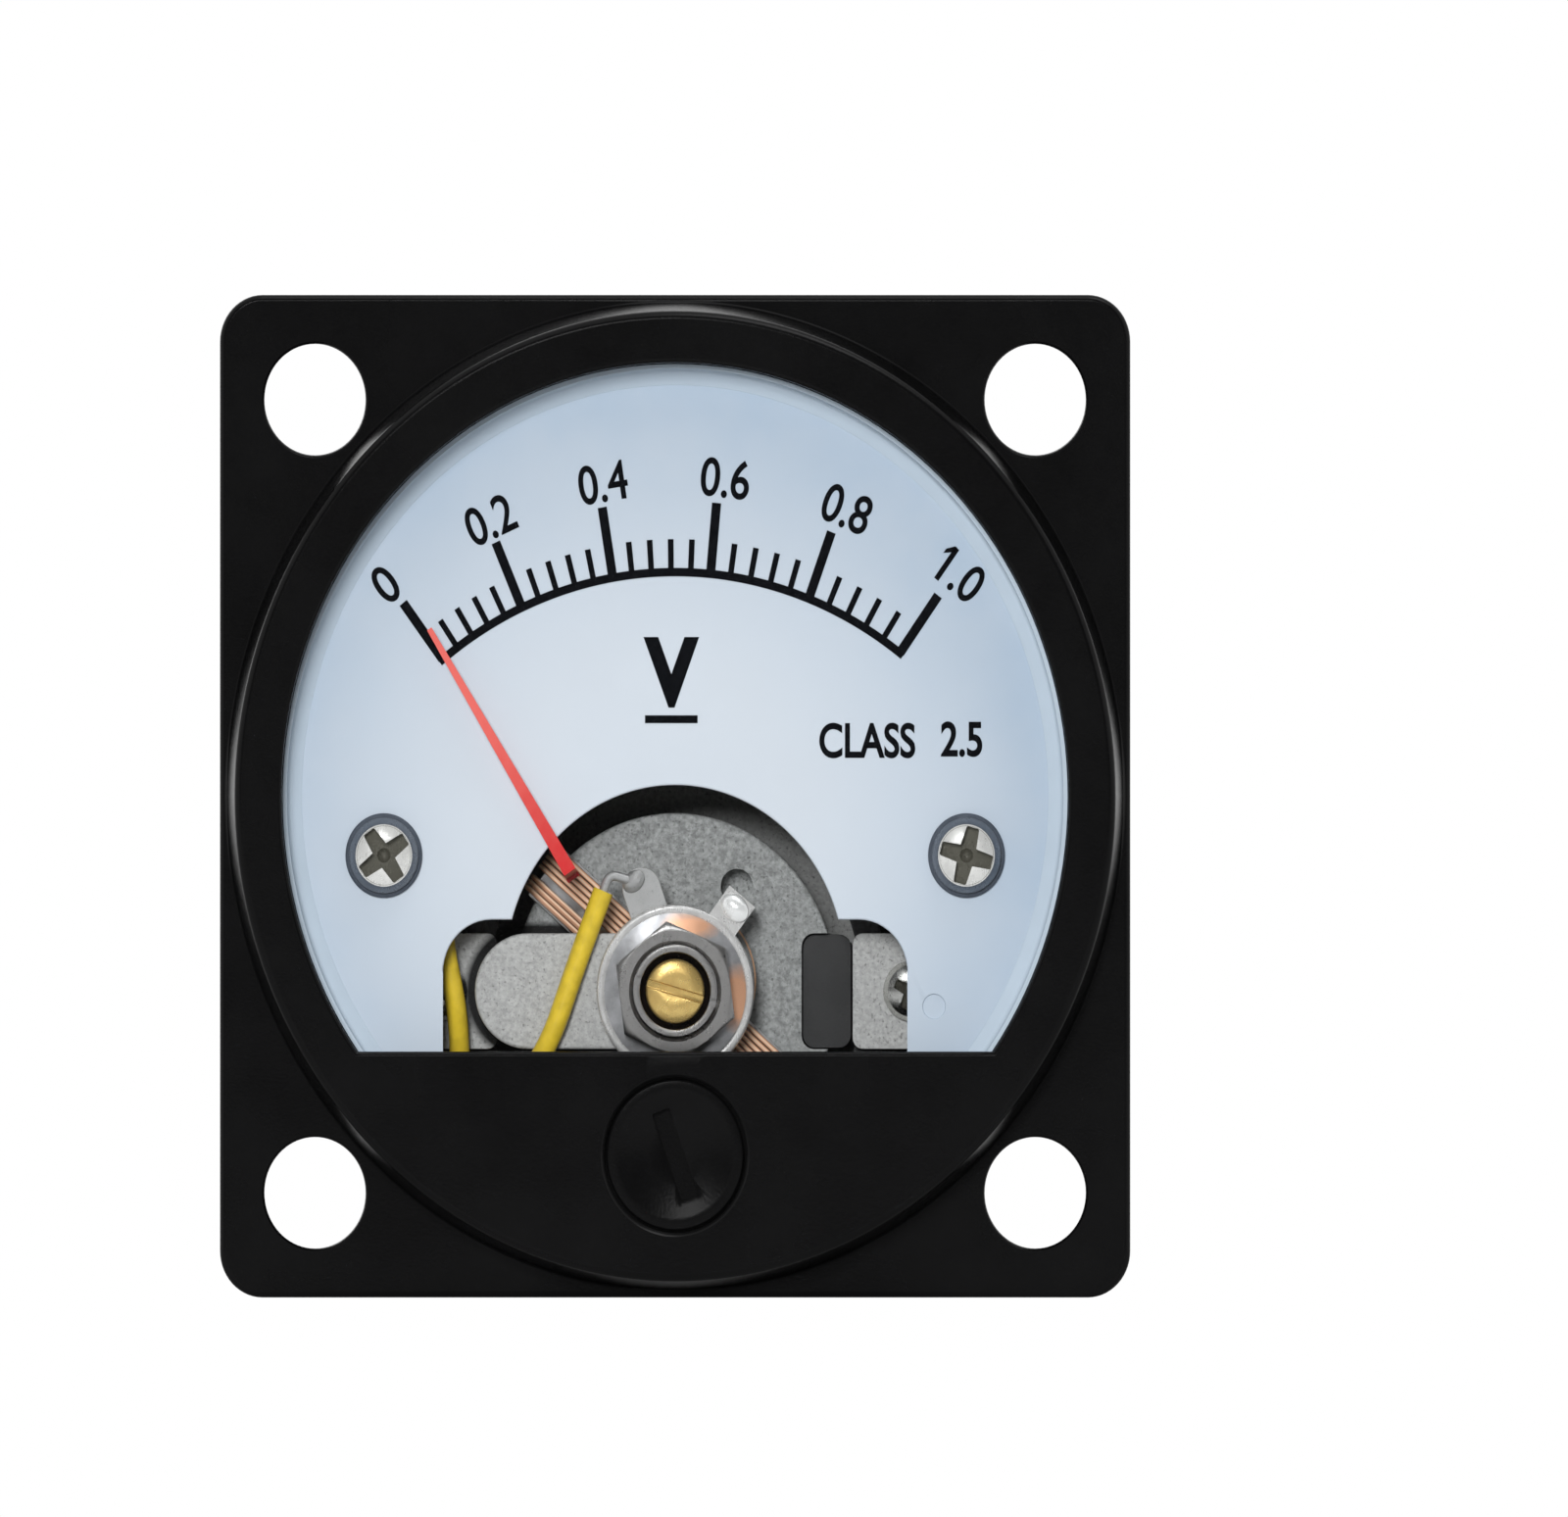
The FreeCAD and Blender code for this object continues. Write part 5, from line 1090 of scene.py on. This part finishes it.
class METER_OT_bridge(bpy.types.Operator):
    """Models the cast bridge arm, the yoke clamps and their screws"""
    bl_idname = "meter.bridge"
    bl_label = "Bridge and clamps"

    def execute(self, context):
        boss = 3.4
        meet = math.degrees(math.asin(ARM_HALF / boss))
        outline = arc(ARM_HALF, 180, 360, 30, -ARM_END, AXIS_Z)
        outline += arc(boss, meet - 90, 270 - meet, 70, 0, AXIS_Z)
        bridge = cut_sheet("bridge", outline, BRIDGE_FACE, BRIDGE_REAR)
        cut(bridge, rod("bush_hole", 2.12, -1, 3, 0, AXIS_Z, 64))
        soften(bridge, 0.16, 3, 50)
        join(bridge, bar("post", -8.7, -6.55, 1.6, PLATE_FACE, AXIS_Z - 2.1, AXIS_Z + 2.1))
        dress(bridge, "front_bridge")
        for word, side in SIDES.items():
            x = side * CLAMP_SCREW_X
            left, right = sorted((side * 8.77, side * 13.25))
            outline = rectangle(left, right, AXIS_Z - ARM_HALF, AXIS_Z + ARM_HALF, 0.5)
            clamp = cut_sheet("clamp_" + word, outline, CLAMP_FACE, CLAMP_REAR)
            cut(clamp, rod("hole", 0.8, 1, 6, x, AXIS_Z, 40))
            soften(clamp, 0.06, 2, 50)
            dress(clamp, "yoke_clamp_" + word)
            head = screw("clamp_screw_head_" + word, x, AXIS_Z, CLAMP_FACE, radius=1.36, rise=0.8,
                         shank=0.7, tip=8.2, recess_angle=25.0, recess=(0.26, 0.85, 0.5))
            dress(head, "clamp_screw_" + word)
            refined("frame_screw_" + word, 0.03, 40)
        refined("bridge_screw", 0.06, 60)
        return {"FINISHED"}


class METER_OT_hub(bpy.types.Operator):
    """Models the stack on the pointer's axis: bush, jewel screw, lock nut and spring washer"""
    bl_idname = "meter.hub"
    bl_label = "Hub"

    def execute(self, context):
        bush = turned("bush", [
            (1.75, -2.3, 0.06), (2.1, -2.3, 0.08), (2.1, BRIDGE_REAR), (1.47, BRIDGE_REAR), (1.47, -1.1),
            (1.75, -1.1)], 0, AXIS_Z, 96)
        notch = bar("notch", -3, 3, -3.0, -1.95, AXIS_Z - 0.2, AXIS_Z + 0.2)
        cut(bush, turn(notch, HUB_SLOT_ANGLE))
        dress(bush, "bridge_bush")
        jewel = turned("jewel_screw", [
            (0, -1.86), (0.9, -1.88), (1.45, -1.78, 0.12), (1.45, 0.9), (0.55, 0.9), (0, 0.4)],
            0, AXIS_Z, 72)
        slot = bar("slot", -3, 3, -3.0, -1.45, AXIS_Z - 0.18, AXIS_Z + 0.18)
        cut(jewel, turn(slot, HUB_SLOT_ANGLE))
        soften(jewel, 0.04, 2, 50)
        dress(jewel, "front_jewel_screw")
        seat = -0.85
        dress(nut("lock_nut_hexagon", 2.12, -2.1, seat, 0, AXIS_Z, 52.0), "lock_nut")
        dish = [(2.14, seat), (2.14, seat + 0.12), (3.5, -0.47), (3.5, -0.59)]
        dress(turned("spring_washer", dish, 0, AXIS_Z, 96), "friction_washer", finish="pressed_washer")
        for node in ("rear_jewel_screw", "rear_lock_nut", "rear_spring_anchor"):
            refined(node, 0.05, 50)
        return {"FINISHED"}


class METER_OT_lever(bpy.types.Operator):
    """Models the zero lever with its fork and bent tab, and the solder tag under it"""
    bl_idname = "meter.lever"
    bl_label = "Zero lever"

    def execute(self, context):
        face, rear = LEVER_FACE, LEVER_REAR
        lever = turned("lever", [
            (2.13, face), (3.42, face), (3.6, -0.5, 0.05), (3.84, -0.5, 0.1), (3.9, -0.3, 0.05),
            (3.9, rear), (2.13, rear)], 0, AXIS_Z, 128)
        root, slot_top, end = AXIS_Z - 2.9, AXIS_Z - 5.35, AXIS_Z - 7.85
        fork = cut_sheet("fork", [
            (-1.35, root), (1.35, root), (1.35, end, 0.5), (0.52, end, 0.15), (0.52, slot_top, 0.5),
            (-0.52, slot_top, 0.5), (-0.52, end, 0.15), (-1.35, end, 0.5)], face + 0.01, rear - 0.01)
        tab = bar("tab", -0.8, 0.8, face + 0.01, rear - 0.01, AXIS_Z + 3.0, AXIS_Z + 5.4)
        join(tab, bar("bend", -0.79, 0.79, rear - 0.2, 2.3, AXIS_Z + 5.05, AXIS_Z + 5.39))
        join(tab, bar("foot", -0.4, 0.4, 1.95, 2.29, AXIS_Z + 4.25, AXIS_Z + 5.2))
        join(lever, turn(tab, TAB_ANGLE), fork)
        dress(soften(lever, 0.05, 2, 50), "zero_lever")
        x, z = polar(4.75, TAB_ANGLE)
        drop = solder("tab_solder", x, face - 0.05, z, width=0.76, depth=0.34, height=0.62, lean=TAB_ANGLE)
        dress(drop, slot="tinned_metal", body="zero_lever", finish="bright_solder")
        refined("solder_tag", 0.05, 50)
        drop = solder("tag_solder", -2.05, -0.12, -3.82, width=0.6, depth=0.34, height=0.45, lean=-40.0)
        dress(drop, slot="tinned_metal")
        return {"FINISHED"}


class METER_OT_coil(bpy.types.Operator):
    """Models the moving coil, with each strand of its two windings, its former, pivots and weight"""
    bl_idname = "meter.coil"
    bl_label = "Coil"

    def execute(self, context):
        strands = context.scene.meter_movement.strands
        start, end, gap_start, gap_end = -1.25, 1.25, -0.5, -0.1
        pitch = (end - gap_end) / strands
        wide = self.section("wide", gap_end, pitch, strands)
        narrow = self.section("narrow", start, pitch, round((gap_start - start) / pitch))
        winding = gather("winding", wide, narrow)
        dress(turn(winding, -50.0), "coil_winding")
        refined("coil_former", 0.02, 50)
        refined("front_pivot")
        refined("rear_pivot")
        refined("counterweight", 0.12, 50)

        def foot(p):
            return p.y > 2 and math.hypot(p.x, p.z - AXIS_Z) < 6.9

        refined("pointer", 0.03, 50, pull=(foot, (-0.34, 0, 0.52)))
        return {"FINISHED"}

    def section(self, name, start, pitch, strands):
        """One strand as a rounded rectangular loop round the former, laid side by side so many times."""
        reach, front, back, build = 8.8, 2.7, 13.7, 0.45
        low, high = AXIS_Z - reach, AXIS_Z + reach
        loop = cut_sheet(name, rectangle(front, back, low, high, 0.9), -start - pitch * 0.97,
                         -start - pitch * 0.03, 5)
        inside = rectangle(front + build, back - build, low + build, high - build, 0.45)
        cut(loop, cut_sheet("core", inside, -5, 5, 4))
        loop.rotation_euler = (0, 0, math.pi / 2)
        settle(loop)
        soften(loop, pitch * 0.3, 2, 60)
        return repeat(loop, strands, pitch)


class METER_OT_adjuster(bpy.types.Operator):
    """Models the slotted zero adjuster in the mask"""
    bl_idname = "meter.adjuster"
    bl_label = "Zero adjuster"

    def execute(self, context):
        z = ADJUSTER_Z
        knob = turned("adjuster", [
            (0, -5.2), (1.4, -5.24), (2.4, -5.36), (2.9, -5.45, 0.1), (3.4, -5.45, 0.12), (3.4, -4.75),
            (2.2, -4.75), (2.2, -3.65), (2.75, -3.65), (2.2, -3.3), (0, -3.3)], 0, z, 96)
        slot = cut_sheet("slot", rectangle(-0.45, 0.45, z - 2.1, z + 2.1, 0.1), -7, -4.85)
        cut(knob, turn(slot, -20.0, 0, z))
        soften(knob, 0.06, 2, 40)
        join(knob, rod("crank_pin", 0.45, -3.4, 0.44, 0, z + 0.8, 32))
        dress(knob, "zero_adjuster")
        return {"FINISHED"}


class METER_OT_wiring(bpy.types.Operator):
    """Refines the leads, the bare wires and the resistor"""
    bl_idname = "meter.wiring"
    bl_label = "Wiring"

    def execute(self, context):
        for node in ("front_lead", "rear_lead", "bare_wires", "series_resistor"):
            refined(node)
        return {"FINISHED"}


class METER_OT_case(bpy.types.Operator):
    """Models the rear case, a round cup with bosses inside and a pad under each terminal"""
    bl_idname = "meter.case"
    bl_label = "Rear case"

    def execute(self, context):
        cup = turned("case", [
            (0, CASE_REAR), (20.75, CASE_REAR, 1.2), (20.75, LENS_REAR, 0.1), (19.6, LENS_REAR, 0.1),
            (19.6, CASE_FLOOR, 0.5), (0, CASE_FLOOR)],
            steps=160, segments=6)
        for side in SIDES.values():
            x, z = side * TERMINAL_X, TERMINAL_Z
            join(cup, turned("pad", [
                (0, 20.0), (4.35, 20.0), (4.35, CASE_REAR + 0.02), (4.2, CASE_REAR + 0.16),
                (4.2, PAD_REAR, 0.2), (0, PAD_REAR)], x, z, 72))
            bosses = (("pillar_boss", 2.38, DIAL_SCREW_X, DIAL_SCREW_Z), ("ear_boss", 2.4, 9.65, -0.65))
            for name, radius, boss_x, boss_z in bosses:
                join(cup, rod(name, radius, PLATE_REAR, CASE_FLOOR + 0.2, side * boss_x, boss_z, 48))
            cut(cup, rod("stud_hole", 1.6, 18, 22, x, z, 48))
        dress(cup, "rear_case")
        return {"FINISHED"}


class METER_OT_terminals(bpy.types.Operator):
    """Models the two terminals: threaded stud, inner tag, washers, nuts and solder lug"""
    bl_idname = "meter.terminals"
    bl_label = "Terminals"

    def execute(self, context):
        for word, side in SIDES.items():
            x, z = side * TERMINAL_X, TERMINAL_Z
            dress(self.stud("stud_" + word, x, z), "terminal_stud_" + word)
            nuts, washers = [], []
            for front, angle in ((PAD_REAR, 20.0), (24.4, 50.0)):
                seat = front + 0.5
                nuts.append(nut("nut", 1.52, seat, seat + 2.4, x, z, angle))
                washers.append(turned("washer", [
                    (1.6, front, 0.06), (3.2, front, 0.08), (3.2, seat, 0.1), (1.6, seat, 0.06)], x, z, 72))
            dress(gather("nuts_" + word, *nuts), "terminal_nuts_" + word)
            dress(gather("washers_" + word, *washers), "terminal_washers_" + word)
            refined("solder_lug_" + word, 0.08, 50)
            refined("terminal_tag_" + word, 0.06, 50)
        return {"FINISHED"}

    def stud(self, name, x, z):
        """A stud with a hexagon head inside the case and a rolled thread out to its end."""
        radius, root, pitch, start, end = 1.5, 1.23, 0.5, 19.2, 29.7
        outline = [(0, 17.6), (root, 17.6), (root, start)]
        for number in range(round((end - start) / pitch)):
            depth = start + number * pitch
            outline += [(radius, depth + pitch * 0.42), (radius, depth + pitch * 0.58),
                        (root, depth + pitch * 0.94), (root, depth + pitch)]
        stud = turned(name, outline + [(1.0, 30.0), (0, 30.0)], x, z, 48)
        head = hexagon("head", 16.6, 18.6, x, z, 30.0)
        soften(head, 0.05, 2, 30)
        return join(stud, head)


class METER_OT_stage(bpy.types.Operator):
    """Sets the floor, the lamps, the surround and the camera"""
    bl_idname = "meter.stage"
    bl_label = "Stage"

    def execute(self, context):
        s = context.scene.meter_stage
        put_down()
        bpy.ops.mesh.primitive_plane_add(size=4.0, location=(0, 0, -22.5 * MM))
        floor = named("floor")
        floor.data.materials.append(plain_floor(s.floor))
        settle(floor)
        bpy.ops.mesh.primitive_plane_add(size=1.6, location=(0, -0.75, 0.1), rotation=(math.pi / 2, 0, 0))
        card = named("card")
        card.data.materials.append(black_card())
        for rays in ("camera", "shadow", "diffuse"):
            setattr(card, "visible_" + rays, False)
        settle(card)
        self.sun("key", s.key, 12.0, (0.11, 1.0, -0.16)).visible_glossy = False
        self.sun("glint", s.glint, 6.0, (0.10, 1.0, -0.34)).visible_diffuse = False
        self.sun("top", s.top, 30.0, (-0.25, 0.35, -1.0))
        self.sun("rear", s.rear, 40.0, (0.6, -1.0, -0.55))
        self.surround(context.scene, s.surround)
        self.camera(context.scene, s)
        context.scene.view_settings.view_transform = "Standard"
        return {"FINISHED"}

    def sun(self, name, strength, spread, aim):
        """A lamp from far away, with its spread in degrees."""
        bpy.ops.object.light_add(type="SUN", location=(0, 0, 0.3))
        lamp = bpy.context.object
        lamp.name = name
        lamp.data.energy = strength
        lamp.data.angle = math.radians(spread)
        lamp.rotation_euler = Vector(aim).to_track_quat("-Z", "Y").to_euler()
        return lamp

    def surround(self, scene, strength):
        """A white background for the camera, gloss and glass, and a softer light for everything else."""
        world = bpy.data.worlds.new("surround")
        world.use_nodes = True
        nodes, links = world.node_tree.nodes, world.node_tree.links
        back = nodes["Background"]
        back.inputs["Color"].default_value = (1, 1, 1, 1)
        path = nodes.new("ShaderNodeLightPath")
        seen = path.outputs["Is Camera Ray"]
        for kind in ("Is Glossy Ray", "Is Transmission Ray"):
            either = nodes.new("ShaderNodeMath")
            either.operation = "MAXIMUM"
            links.new(seen, either.inputs[0])
            links.new(path.outputs[kind], either.inputs[1])
            seen = either.outputs[0]
        level = nodes.new("ShaderNodeMapRange")
        links.new(seen, level.inputs["Value"])
        level.inputs["To Min"].default_value = strength
        level.inputs["To Max"].default_value = 1.0
        links.new(level.outputs["Result"], back.inputs["Strength"])
        scene.world = world

    def camera(self, scene, s):
        """A level view without perspective, whose frame leans back so that upright lengths show longer."""
        bpy.ops.object.camera_add(location=(0, 0, 0))
        camera = bpy.context.object
        camera.name = "view"
        camera.data.type = "ORTHO"
        camera.data.ortho_scale = s.view_width
        camera.data.clip_start = 0.01
        camera.data.clip_end = 10
        bpy.ops.object.empty_add(location=(0, 0, 0))
        rig = bpy.context.object
        rig.name = "view_rig"
        lean = math.acos(1 / s.stretch)
        camera.parent = rig
        camera.matrix_parent_inverse = Matrix((
            (1, 0, 0, s.view_x),
            (0, math.sin(lean), -1, -0.3),
            (0, math.cos(lean), 0, s.view_z),
            (0, 0, 0, 1)))
        scene.camera = camera


GROUPS = {"meter_cover": MeterCover, "meter_dial": MeterDial, "meter_movement": MeterMovement,
          "meter_stage": MeterStage}
OPERATORS = (
    METER_OT_finishes, METER_OT_cover, METER_OT_window, METER_OT_dial, METER_OT_print, METER_OT_dial_screws,
    METER_OT_core, METER_OT_bridge, METER_OT_hub, METER_OT_lever, METER_OT_coil, METER_OT_adjuster,
    METER_OT_wiring, METER_OT_case, METER_OT_terminals, METER_OT_stage)
STEPS = [operator.bl_idname.split(".")[1] for operator in OPERATORS]


class METER_PT_panel(bpy.types.Panel):
    """Lists the meter's settings and pieces"""
    bl_idname = "METER_PT_panel"
    bl_label = "Panel meter"
    bl_space_type = "VIEW_3D"
    bl_region_type = "UI"
    bl_category = "Meter"

    def draw(self, context):
        for group in GROUPS:
            box = self.layout.box()
            settings = getattr(context.scene, group)
            for key in settings.bl_rna.properties.keys():
                if key not in ("rna_type", "name"):
                    box.prop(settings, key)
        for step in STEPS:
            self.layout.operator("meter." + step)


CLASSES = (*GROUPS.values(), *OPERATORS, METER_PT_panel)


def register():
    for item in CLASSES:
        bpy.utils.register_class(item)
    for key, group in GROUPS.items():
        setattr(bpy.types.Scene, key, PointerProperty(type=group))


def unregister():
    for key in GROUPS:
        delattr(bpy.types.Scene, key)
    for item in reversed(CLASSES):
        bpy.utils.unregister_class(item)


def main():
    register()
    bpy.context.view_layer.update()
    for step in STEPS:
        getattr(bpy.ops.meter, step)()
    bpy.context.view_layer.update()


if __name__ == "__main__":
    main()
